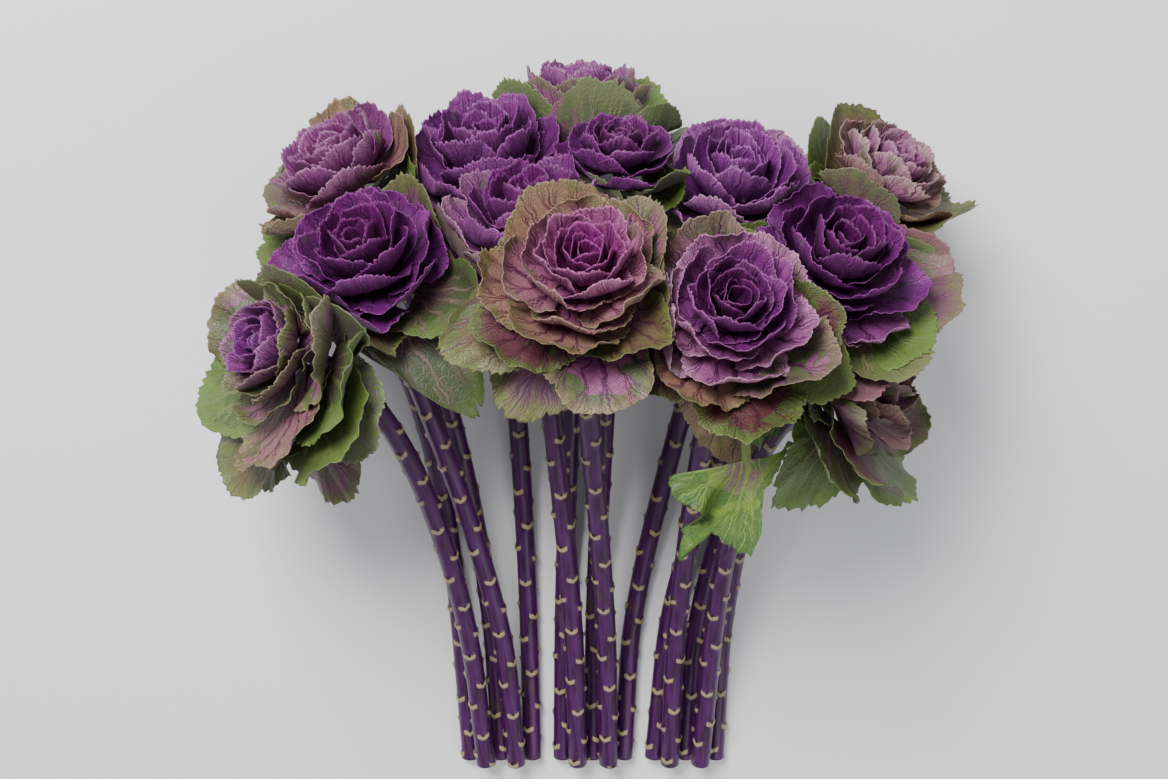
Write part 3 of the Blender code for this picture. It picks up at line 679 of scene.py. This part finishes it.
def fine_leaf(place, leaf, planes, inset, rng, pitch, frill):
    """A leaf's two faces as grids of points, with what its material reads.

    With q from -1 to 1 across and s from 0 at the blade's base to 1 at the margin, the
    flat leaf is x = w q (1 - s) + s R sin(spread q), y = stalk + s R cos(spread q),
    where R = (length - stalk)(e + (1 - e) cos(2 spread q))(1 + waves + s^6 teeth), e is
    the side reach, and the lobed leaf's is times 1 - s lobes cos(rate spread q). The
    margin ripples along the leaf's normal, by sines that swell towards it.
    """
    length, spread = leaf["length"], leaf["spread"]
    stalk = leaf["petiole"] * length
    columns = int(np.clip(2 * spread * 0.9 * (length - stalk) / pitch, 26, 72))
    stalk_rows = max(1, int(round(stalk / 0.006)))
    fan_rows = int(np.clip(length / 0.0048, 8, 15))
    q = np.linspace(-1.0, 1.0, columns)[None, :]
    s = 1 - (1 - np.linspace(0.0, 1.0, fan_rows + 1)[:, None]) ** 1.35
    psi = spread * q
    waves = sum(
        size * np.sin(count * psi + rng.uniform(0, 2 * math.pi))
        for size, count in ((0.022, rng.uniform(4, 6)), (0.018, rng.uniform(9, 12)))
    )
    teeth = 0.015 * rng.standard_normal(columns) + 0.013 * np.cos(math.pi * np.arange(columns))
    fall = SIDE_REACH + (1 - SIDE_REACH) * np.cos(2 * psi)
    outline = (length - stalk) * fall * (1 + waves + s**6 * teeth)
    outline = outline * (1 - s * leaf["lobes"] * np.cos(LOBE_RATE * psi))
    width = 0.40 * ROOT_WIDTH
    across = width * q * (1 - s) + s * outline * np.sin(psi)
    along = stalk + s * outline * np.cos(psi)
    lift = leaf["ruffle"] * s**3 * np.sin(leaf["waves"] * psi + leaf["phase"])
    t = np.linspace(0.0, 1.0, stalk_rows + 1)[:-1, None]
    across = np.vstack([(0.5 * ROOT_WIDTH * (1 - t) + width * t) * q, across])
    along = np.vstack([stalk * t + 0 * q, along])
    lift = np.vstack([0 * t * q, lift])
    share = np.vstack([0 * t * q, s + 0 * q])
    psi = np.broadcast_to(psi, share.shape)

    points = carried(place, leaf, across, along, lift)
    turns = rng.uniform(0, 2 * math.pi, 6)
    coarse = np.sin(rng.uniform(8.0, 12) * psi + turns[0] + 1.3 * np.sin(2.2 * psi + turns[1]))
    middle = np.sin(rng.uniform(16, 21) * psi + turns[2] + 1.5 * np.sin(4.1 * psi + turns[3]))
    finer = np.sin(rng.uniform(33, 41) * psi + turns[4] + 1.8 * np.sin(6.3 * psi + turns[5]))
    ripple = frill * (0.62 * coarse * share**3.0 + 0.26 * middle * share**4.5 + 0.20 * finer * share**7)
    points = points + ripple[..., None] * leaf_normals(points)
    points = pressed(points, planes, inset, rng.uniform(0.0, MOST_SPILL))

    normals = leaf_normals(points)
    rib = np.exp(-((across / RIB_HALF_WIDTH) ** 2)) * (1 - share) ** 0.8
    half = BLADE_HALF + ROOT_HALF * (1 - share) ** 3
    upper = points + normals * half[..., None]
    lower = points - normals * (half + RIB_DEPTH * rib)[..., None]
    flat = MAP_SCALE * np.stack([across, along - stalk], axis=-1)
    return dict(upper=upper, lower=lower, flat=flat, share=share, look=leaf["look"])


def point_colours(mesh, name, colours):
    """Store one colour for every point of a mesh."""
    attribute = mesh.attributes.new(name, "FLOAT_COLOR", "POINT")
    attribute.data.foreach_set("color", np.asarray(colours, np.float32).ravel())


def leaf_piece(name, leaves, under, seed):
    """One object of many leaves, each a closed thin solid, with its map and its colours.

    The two faces of a leaf are grids of points, and a rim of quads joins their outlines.
    """
    rng = np.random.default_rng(seed)
    vertices, faces, flats, shares, sides = ([] for _ in range(5))
    counts, randoms = [], []
    start = 0
    for leaf in leaves:
        rows, columns = leaf["share"].shape
        count = rows * columns
        index = start + np.arange(count).reshape(rows, columns)
        bottom = grid_cells(index) + count
        top = bottom[:, [0, 3, 2, 1]] - count
        ring = np.concatenate([index[0], index[1:, -1], index[-1, -2::-1], index[-2:0:-1, 0]])
        after = np.roll(ring, -1)
        rim = np.stack([ring, after, after + count, ring + count], axis=-1)
        faces.append(np.concatenate([top, bottom, rim]))
        vertices += [leaf["upper"].reshape(-1, 3), leaf["lower"].reshape(-1, 3)]
        shares.append(np.tile(leaf["share"].ravel(), 2))
        sides.append(np.repeat([0.0, 1.0], count))
        flats.append(np.tile(leaf["flat"].reshape(-1, 2), (2, 1)))
        counts.append(2 * count)
        randoms.append(rng.uniform())
        start += 2 * count
    quads = np.concatenate(faces)
    material = leaf_material(name, under)
    piece = mesh_object(name, np.concatenate(vertices), quads.tolist(), material)
    corner_map(piece.data, "leaf", np.concatenate(flats), quads.ravel())
    point_values(piece.data, "share", np.concatenate(shares))
    point_values(piece.data, "side", np.concatenate(sides))
    point_values(piece.data, "random", np.repeat(randoms, counts))
    blotched = [leaf["look"]["blotched"] for leaf in leaves]
    point_values(piece.data, "blotched", np.repeat(blotched, counts))
    # The base colour is the leaf's own, and in some looks also carries painted light for the crevices round
    # the core.
    for part in ("base", "blade", "margin", "vein", "blotch"):
        colours = np.array([leaf["look"][part] for leaf in leaves])
        point_colours(piece.data, part, np.repeat(colours, counts, axis=0))
    return piece


# Veins on the leaf's own map, in tenths of a metre: how many main ones leave the point
# under the blade for each radian, how far all wander, and the net's cells.
VEINS_PER_RADIAN = 3.2
VEIN_ORIGIN = 0.10
WANDER = (0.13, 0.13, 0.0)
WANDER_SCALE = 7.0
NET_SCALE = 26.0
RIB_WIDTH = 0.026

# Each order of veins: its width and how strongly it shows.
MAIN_VEINS = (0.0100, 1.0)
FORKED_VEINS = (0.0078, 0.9)
FINE_VEINS = (0.0064, 0.75)


def vein_group():
    """Veins that fan out from the blade's base and fork, with a net of fine ones.

    Main veins lie at equal angles round a point under the base. Each forks at a quarter
    of the way out and again past the middle, and the forks drift apart to the margin.
    """
    group = bpy.data.node_groups.new("leaf_veins", "ShaderNodeTree")
    group.interface.new_socket("Veins", in_out="OUTPUT", socket_type="NodeSocketFloat")
    group.interface.new_socket("Net", in_out="OUTPUT", socket_type="NodeSocketFloat")
    group.interface.new_socket("Place", in_out="OUTPUT", socket_type="NodeSocketVector")
    graph = Graph(group)
    uv = graph.put("ShaderNodeUVMap", uv_map="leaf").outputs[0]
    share = graph.value("share")
    random = graph.value("random")
    apart = graph.math("MULTIPLY", random, 7.0)
    shift = graph.put("ShaderNodeCombineXYZ", (0.0, 0.0, apart)).outputs[0]
    place = graph.vector("ADD", uv, shift)
    wander = graph.put("ShaderNodeTexNoise")
    graph.feed(wander.inputs["Vector"], place)
    wander.inputs["Scale"].default_value = WANDER_SCALE
    wander.inputs["Detail"].default_value = 2.0
    offset = graph.vector("SUBTRACT", wander.outputs["Color"], (0.5, 0.5, 0.5))
    offset = graph.vector("MULTIPLY", offset, WANDER)
    bent = graph.vector("ADD", uv, offset)
    parts = graph.put("ShaderNodeSeparateXYZ", (bent,))
    x = parts.outputs[0]
    y = graph.math("ADD", parts.outputs[1], VEIN_ORIGIN)
    angle = graph.math("ARCTAN2", x, y)
    squares = graph.math("ADD", graph.math("MULTIPLY", x, x), graph.math("MULTIPLY", y, y))
    reach = graph.math("SQRT", squares)
    turned = graph.math("MULTIPLY", angle, VEINS_PER_RADIAN)
    beside = graph.math("SUBTRACT", graph.math("FRACT", graph.math("ADD", turned, 0.5)), 0.5)
    beside = graph.math("ABSOLUTE", beside)
    first_fork = graph.math("MULTIPLY", graph.step(share, 0.22, 1.1), 0.30)
    second = graph.math("ABSOLUTE", graph.math("SUBTRACT", beside, first_fork))
    second_fork = graph.math("MULTIPLY", graph.step(share, 0.50, 1.15), 0.14)
    third = graph.math("ABSOLUTE", graph.math("SUBTRACT", second, second_fork))
    taper = graph.math("SUBTRACT", 1.5, share)
    lines = []
    kinds = ((beside, *MAIN_VEINS), (second, *FORKED_VEINS), (third, *FINE_VEINS))
    for distance, width, strength in kinds:
        real = graph.math("MULTIPLY", graph.math("DIVIDE", distance, VEINS_PER_RADIAN), reach)
        thin = graph.math("MULTIPLY", taper, width)
        line = graph.math("SUBTRACT", 1.0, graph.step(graph.math("DIVIDE", real, thin), 0.25, 1.0))
        lines.append(graph.math("MULTIPLY", line, strength))
    rib_width = graph.math("MULTIPLY", graph.math("SUBTRACT", 1.12, share), RIB_WIDTH)
    rib = graph.math("DIVIDE", graph.math("ABSOLUTE", x), rib_width)
    lines.append(graph.math("SUBTRACT", 1.0, graph.step(rib, 0.4, 1.0)))
    veins = lines[0]
    for line in lines[1:]:
        veins = graph.math("MAXIMUM", veins, line)
    cells = graph.put("ShaderNodeTexVoronoi", feature="DISTANCE_TO_EDGE")
    graph.feed(cells.inputs["Vector"], bent)
    cells.inputs["Scale"].default_value = NET_SCALE
    net = graph.math("SUBTRACT", 1.0, graph.step(cells.outputs["Distance"], 0.0, 0.16))
    out = graph.put("NodeGroupOutput")
    graph.feed(out.inputs["Veins"], veins)
    graph.feed(out.inputs["Net"], net)
    graph.feed(out.inputs["Place"], place)
    return group


VEIN_GROUP = vein_group()


def look(base, blade, margin, vein, blotch=(70, 92, 40), blotched=0.0):
    """A leaf's colours: at its base (in some looks lightened as painted light in the crevices), over its
    blade, at its margin, of veins and blotches.
    """
    colours = dict(base=base, blade=blade, margin=margin, vein=vein, blotch=blotch)
    return {part: srgb(*levels) for part, levels in colours.items()} | {"blotched": blotched}


def between(first, second, share):
    """A look part of the way from one look to another."""
    mixed = {}
    for part, value in first.items():
        start, end = np.array(value), np.array(second[part])
        mixed[part] = start + (end - start) * share
    return mixed


# How strongly the leaf's parts show, and its finish.
MARGIN_STRENGTH = 0.85
BLOTCH_STRENGTH = 0.9
VEIN_STRENGTH = 0.95
NET_STRENGTH = 0.36
MOTTLE_STRENGTH = 0.20
UNDERSIDE = srgb(128, 112, 124)
PURPLE_UNDERSIDE = 0.05
LEAF_ROUGHNESS = 0.5
LEAF_BUMP = 0.0007


def leaf_material(name, under):
    """Blades in the colours stored on them, with veins, blotches and a margin.

    The underside is greyer, and everything is uneven at the scale of the veins' fields.
    """
    material = bpy.data.materials.new(name)
    material.use_nodes = True
    graph = Graph(material.node_tree)
    shader = material.node_tree.nodes["Principled BSDF"]
    group = graph.put("ShaderNodeGroup", node_tree=VEIN_GROUP)
    veins, net, place = (group.outputs[key] for key in ("Veins", "Net", "Place"))
    share = graph.value("share")
    cloud = graph.math("SUBTRACT", graph.noise(place, 3.2, 3.0), 0.5)
    inside = graph.math("ADD", share, graph.math("MULTIPLY", cloud, 0.7))
    # From the base colour to the blade's: in some looks the base is lightened as painted light in the crevices
    # round the core.
    colour = graph.mix(graph.step(inside, 0.05, 0.62), graph.colour("base"), graph.colour("blade"))
    field = graph.math("ADD", graph.noise(place, 4.6, 2.0), graph.math("MULTIPLY", share, 0.35))
    start = graph.math("SUBTRACT", 1.02, graph.math("MULTIPLY", graph.value("blotched"), 0.42))
    blotches = graph.step(graph.math("SUBTRACT", field, start), 0.0, 0.035)
    blotches = graph.math("MULTIPLY", blotches, BLOTCH_STRENGTH)
    colour = graph.mix(blotches, colour, graph.colour("blotch"))
    edge = graph.step(graph.math("ADD", share, graph.math("MULTIPLY", cloud, 0.5)), 0.70, 1.04)
    edge = graph.math("MULTIPLY", edge, MARGIN_STRENGTH)
    colour = graph.mix(edge, colour, graph.colour("margin"))
    mottle = graph.step(graph.noise(place, 17.0, 3.0), 0.38, 0.72)
    lines = graph.math("MULTIPLY", veins, VEIN_STRENGTH)
    lines = graph.math("MAXIMUM", lines, graph.math("MULTIPLY", net, NET_STRENGTH))
    lines = graph.math("MAXIMUM", lines, graph.math("MULTIPLY", mottle, MOTTLE_STRENGTH))
    colour = graph.mix(lines, colour, graph.colour("vein"))
    below = graph.math("MULTIPLY", graph.value("side"), under)
    colour = graph.mix(below, colour, UNDERSIDE)
    graph.feed(shader.inputs["Base Color"], colour)
    shader.inputs["Roughness"].default_value = LEAF_ROUGHNESS
    relief = graph.math("ADD", veins, graph.math("MULTIPLY", net, 0.5))
    bump = graph.put("ShaderNodeBump", invert=True)
    bump.inputs["Strength"].default_value = 0.5
    bump.inputs["Distance"].default_value = LEAF_BUMP
    graph.feed(bump.inputs["Height"], relief)
    graph.feed(shader.inputs["Normal"], bump.outputs[0])
    return material


# Looks of the purple leaves: the heart's, the body's, and the outermost leaves' of heads
# that turn tan, pink or green there, with the share of the spiral where they turn. The
# colours of a look are in the order of its function's inputs, as 8-bit sRGB values.
# The base colours of PLUM and PLUM_HEART are lightened to stand in for light that reaches the crevices round
# the core: painted light over the leaves' real darker bases.
PLUM = look((74, 8, 68), (94, 20, 96), (134, 48, 132), (48, 6, 50))
PLUM_HEART = look((62, 4, 56), (82, 8, 76), (114, 26, 108), (46, 2, 42))
TAN = look((108, 46, 76), (140, 108, 88), (128, 116, 74), (76, 30, 50), (92, 100, 50), 0.35)
PAGE = look((100, 30, 92), (140, 84, 116), (134, 122, 84), (78, 24, 68), (66, 92, 40), 0.80)
PINK = look((98, 28, 94), (142, 74, 130), (192, 140, 174), (76, 20, 72), (92, 110, 54), 0.30)
ROSE = look((90, 20, 84), (114, 40, 106), (154, 92, 142), (68, 14, 64), (92, 110, 54), 0.20)
INNER_LOOKS = {
    1: dict(
        heart=look((74, 6, 80), (96, 14, 104), (116, 36, 118), (58, 6, 62)),
        body=look((100, 30, 96), (140, 72, 126), (158, 100, 140), (74, 18, 74), (78, 106, 44), 0.55),
        outer=look((104, 42, 92), (124, 90, 96), (120, 130, 74), (78, 26, 68), (78, 104, 44), 0.8),
        turn=0.62,
    ),
    2: dict(heart=PLUM_HEART, body=PLUM, outer=PLUM, turn=1.0),
    3: dict(
        heart=look((92, 16, 80), (116, 32, 100), (150, 84, 134), (70, 12, 62)),
        body=ROSE,
        outer=TAN,
        turn=0.85,
    ),
    4: dict(
        # The base colours are lightened as painted light in the crevices round the core, over the leaves' real
        # darker bases.
        heart=look((76, 10, 74), (92, 20, 92), (130, 54, 128), (54, 8, 54)),
        body=look((86, 16, 84), (106, 32, 108), (150, 74, 148), (62, 10, 62)),
        outer=look((90, 24, 86), (112, 44, 110), (160, 94, 152), (68, 14, 66)),
        turn=0.8,
    ),
    5: dict(heart=PLUM, body=ROSE, outer=PAGE, turn=0.7),
    6: dict(heart=PLUM_HEART, body=PLUM, outer=PLUM, turn=1.0),
    7: dict(
        # The base colours are lightened as painted light in the crevices round the core, over the leaves' real
        # darker bases.
        heart=look((86, 10, 86), (104, 24, 108), (148, 72, 148), (62, 8, 64)),
        body=look((96, 22, 96), (118, 42, 122), (168, 100, 164), (70, 16, 74)),
        outer=look((100, 34, 98), (136, 70, 132), (196, 134, 180), (78, 22, 76), (96, 112, 60), 0.3),
        turn=0.8,
    ),
    8: dict(heart=PLUM_HEART, body=PLUM, outer=PINK, turn=0.72),
    9: dict(
        # The base colours are lightened as painted light in the crevices round the core, over the leaves' real
        # darker bases.
        heart=look((100, 8, 84), (126, 26, 108), (158, 60, 138), (78, 6, 66)),
        body=look((114, 34, 92), (154, 76, 130), (180, 118, 148), (84, 20, 66)),
        outer=look((112, 42, 86), (148, 100, 108), (142, 126, 90), (80, 28, 60), (92, 104, 52), 0.35),
        turn=0.68,
    ),
    10: dict(
        heart=look((68, 4, 62), (88, 12, 84), (122, 40, 116), (50, 4, 46)),
        body=look((84, 14, 80), (112, 36, 112), (162, 88, 154), (60, 10, 58)),
        outer=look((100, 38, 88), (152, 92, 134), (206, 150, 176), (76, 24, 68), (88, 104, 50), 0.45),
        turn=0.74,
    ),
    11: dict(heart=PLUM_HEART, body=PLUM, outer=PINK, turn=0.96),
    12: dict(
        heart=look((112, 36, 98), (134, 64, 118), (166, 114, 144), (88, 26, 74)),
        body=look((122, 54, 104), (152, 98, 128), (180, 146, 142), (92, 36, 76), (84, 104, 50), 0.5),
        outer=TAN,
        turn=0.84,
    ),
    13: dict(heart=PLUM_HEART, body=PLUM, outer=PAGE, turn=0.7),
    14: dict(
        heart=look((90, 24, 80), (116, 50, 102), (150, 96, 128), (70, 20, 62)),
        body=PAGE,
        outer=TAN,
        turn=0.6,
    ),
    15: dict(heart=PLUM_HEART, body=PLUM, outer=PAGE, turn=0.8),
}


def inner_look(number, order, rng):
    """The look of a purple leaf from its place in the spiral, 0 at the heart."""
    looks = INNER_LOOKS[number]
    shade = smooth(0.10, 0.75, order + rng.uniform(-0.10, 0.10))
    turned = smooth(looks["turn"] - 0.06, looks["turn"] + 0.16, order + rng.uniform(-0.08, 0.08))
    found = between(between(looks["heart"], looks["body"], shade), looks["outer"], turned)
    return between(found, PAGE if rng.uniform() < 0.5 else ROSE, 0.35 * turned * rng.uniform())


def inner_piece(number):
    """All the purple leaves of one head."""
    place = head_frame(number)
    planes = cell_planes(number)
    leaves = []
    for index in range(INNER_LEAVES):
        leaf = inner_leaf(number, index)
        rng = np.random.default_rng(7000 + 100 * number + index)
        inset = INNER_INSET + LAYER_INSET * index
        frill = (0.030 + 0.018 * leaf["order"]) * leaf["length"]
        leaf["look"] = inner_look(number, leaf["order"], rng)
        leaves.append(fine_leaf(place, leaf, planes, inset, rng, INNER_PITCH, frill))
    piece = leaf_piece(f"purple_leaves_{number:02d}", leaves, PURPLE_UNDERSIDE, number)
    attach(piece, "root")
    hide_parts(f"inner_leaves_{number:02d}")


for number in PLANTS:
    inner_piece(number)


# Green leaves. The older leaves under each head: green, olive or tan with purple or pink
# veins and a purple base, stiffer and flatter than the purple ones, with long petioles.
# Large loose leaves are listed one by one, because the photograph shows each of them.
# Each has the way it points round its head, in degrees from the side of the stems, its
# reach from the head's axis, its height over the base, its petiole's share and how deep
# its lobes are.
LOOSE_LEAVES = {
    1: [(20, 0.096, -0.040, 0.42, 0), (-25, 0.108, -0.016, 0.45, 0), (62, 0.092, -0.020, 0.30, 0)],
    2: [(44, 0.104, -0.052, 0.30, 0), (-15, 0.066, -0.066, 0.42, 0)],
    4: [(170, 0.098, 0.030, 0.20, 0)],
    8: [(-58, 0.130, 0.000, 0.25, 0), (-102, 0.118, 0.030, 0.23, 0), (118, 0.094, 0.040, 0.20, 0)],
    9: [(-38, 0.082, -0.046, 0.30, 0), (-80, 0.112, -0.010, 0.25, 0), (70, 0.090, -0.030, 0.25, 0)],
    10: [(12, 0.070, -0.062, 0.30, 0), (50, 0.080, -0.066, 0.34, 0), (10, 0.128, -0.120, 0.60, 0.16)],
    11: [(-34, 0.112, 0.004, 0.20, 0), (2, 0.114, -0.010, 0.20, 0), (34, 0.110, 0.000, 0.20, 0)],
    14: [(-38, 0.082, -0.050, 0.34, 0), (18, 0.086, -0.020, 0.26, 0)],
}


# The green leaves' rule, in shares of the head's radius.
OUTER_SPREAD = math.radians(84)
OUTER_PITCH = 0.0023
FIRST_REACH = 1.20
MORE_REACH = 0.38
FIRST_LEVEL = 0.36
CUP_LEVEL = 0.38
FALL = 0.62
CUP_FALL = 0.25
OUTER_ROOT = 0.0126
OUTER_ROOT_FALL = 0.0076
OUTER_PETIOLE = 0.20
OUTER_FRILL = 0.042
GREEN_UNDERSIDE = 0.18


def blade(number, index, rng, root, elbow, margin, petiole):
    """The values that the green leaves share."""
    length = 0.88 * (math.dist(root, elbow) + math.dist(elbow, margin))
    return dict(
        azimuth=(index + 0.4) * GOLDEN_ANGLE + number + rng.uniform(-0.15, 0.15),
        meridian=(root, elbow, margin),
        length=length,
        petiole=petiole,
        lobes=0,
        spread=OUTER_SPREAD,
        wrap=0.72,
        open=0.014,
        ruffle=length * rng.uniform(0.04, 0.06),
        waves=rng.uniform(3.6, 4.8),
        phase=rng.uniform(0, 2 * math.pi),
        order=0.0,
    )


def outer_leaf(number, index):
    """The shape of one green leaf of the head's own spiral.

    The first leaves hold the purple ones like a cup, and each next one reaches a little
    farther out and lower.
    """
    plant = PLANTS[number]
    rng = np.random.default_rng(1000 * number + 500 + index)
    order = index / max(1, plant["green"] - 1)
    radius = plant["radius"]
    reach = plant["reach"] * (FIRST_REACH + MORE_REACH * order)
    margin_radius = reach * radius * rng.uniform(0.94, 1.06)
    high = OUTER_CORE_HEIGHT + radius * (FIRST_LEVEL + CUP_LEVEL * plant["cup"])
    margin_height = high - radius * (FALL + CUP_FALL * plant["cup"]) * order
    root = (0.0062, OUTER_ROOT - OUTER_ROOT_FALL * order)
    elbow = (0.78 * margin_radius, root[1] + 0.10 * radius * (1 - order))
    margin = (margin_radius, margin_height)
    leaf = blade(number, index, rng, root, elbow, margin, OUTER_PETIOLE)
    leaf["order"] = order
    return leaf


def loose_leaf(number, index):
    """The shape of one large loose leaf from the list above."""
    degrees, reach, height, petiole, lobes = LOOSE_LEAVES[number][index]
    rng = np.random.default_rng(1000 * number + 700 + index)
    root = (0.006, 0.0060)
    elbow = (0.55 * reach, 0.0090 + 0.10 * max(height, 0.0))
    leaf = blade(number, 0, rng, root, elbow, (reach, height), petiole)
    leaf["azimuth"] = math.radians(degrees)
    leaf["wrap"] = 0.35
    leaf["lobes"] = lobes
    leaf["order"] = 1.0
    return leaf


# Looks of the green leaves, and for each head those from its uppermost to its lowest.
GREEN = look((84, 48, 62), (60, 84, 30), (92, 120, 48), (104, 116, 62), (84, 106, 38), 0.5)
DARK = look((78, 28, 62), (46, 66, 28), (82, 110, 42), (100, 82, 72), (64, 88, 36), 0.5)
ROSY = look((112, 44, 88), (64, 80, 38), (132, 88, 96), (150, 88, 116), (52, 70, 34), 0.5)
OLIVE = look((96, 42, 66), (88, 82, 44), (104, 116, 56), (78, 36, 50), (66, 86, 38), 0.6)
MAUVE = look((94, 34, 88), (112, 74, 88), (114, 122, 60), (80, 28, 74), (82, 96, 46), 0.55)
MAROON = look((66, 22, 42), (82, 42, 42), (98, 118, 54), (56, 20, 34), (70, 88, 40), 0.55)
LIME = look((108, 56, 92), (94, 122, 32), (42, 80, 36), (106, 128, 48), (54, 88, 34), 0.85)
SILVER = look((106, 62, 106), (88, 106, 66), (102, 128, 62), (112, 78, 104), (78, 98, 50), 0.4)
OUTER_LOOKS = {
    1: (PAGE, TAN, OLIVE, GREEN, OLIVE, GREEN, SILVER, GREEN, DARK),
    2: (MAUVE, DARK, OLIVE, DARK),
    3: (TAN, OLIVE, MAUVE, GREEN),
    4: (GREEN, MAUVE, DARK),
    5: (GREEN, ROSY, GREEN, DARK),
    6: (DARK, GREEN),
    7: (PAGE, MAROON, DARK, GREEN),
    8: (ROSY, GREEN, MAUVE, DARK),
    9: (TAN, PAGE, TAN, OLIVE, MAROON, MAUVE, PAGE),
    10: (PINK, PAGE, TAN, MAROON, OLIVE, MAROON, GREEN),
    11: (ROSY, GREEN, ROSY, MAUVE),
    12: (OLIVE, TAN, GREEN),
    13: (GREEN, DARK),
    14: (MAUVE, OLIVE, MAROON, SILVER, GREEN, DARK),
    15: (GREEN, ROSY),
}
LOOSE_LOOKS = {
    1: (MAUVE, SILVER, SILVER),
    2: (DARK, DARK),
    4: (DARK,),
    8: (ROSY, PINK, GREEN),
    9: (MAUVE, OLIVE, DARK),
    10: (TAN, LIME, LIME),
    11: (MAUVE, ROSY, GREEN),
    14: (GREEN, LIME),
}


def outer_look(number, order, rng):
    """The look of a green leaf from its place in the spiral, 0 at the top."""
    looks = OUTER_LOOKS[number]
    place = int(np.clip(order * len(looks) + rng.uniform(-0.7, 0.7), 0, len(looks) - 1))
    nearby = looks[int(rng.integers(len(looks)))]
    return between(looks[place], nearby, rng.uniform(0.0, 0.3))


def outer_piece(number):
    """All the green leaves of one head, and its loose leaves."""
    place = head_frame(number)
    planes = cell_planes(number)
    shapes = [outer_leaf(number, k) for k in range(PLANTS[number]["green"])]
    shapes += [loose_leaf(number, k) for k in range(len(LOOSE_LEAVES.get(number, ())))]
    leaves = []
    for layer, leaf in enumerate(shapes):
        rng = np.random.default_rng(9000 + 100 * number + layer)
        inset = CELL_INSET + LAYER_INSET * (len(shapes) - 1 - layer)
        frill = OUTER_FRILL * leaf["length"]
        loose = layer - PLANTS[number]["green"]
        if loose < 0:
            leaf["look"] = outer_look(number, leaf["order"], rng)
        else:
            leaf["look"] = LOOSE_LOOKS[number][loose]
        leaves.append(fine_leaf(place, leaf, planes, inset, rng, OUTER_PITCH, frill))
    piece = leaf_piece(f"green_leaves_{number:02d}", leaves, GREEN_UNDERSIDE, 50 + number)
    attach(piece, "root")
    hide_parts(f"outer_leaves_{number:02d}")


for number in PLANTS:
    outer_piece(number)
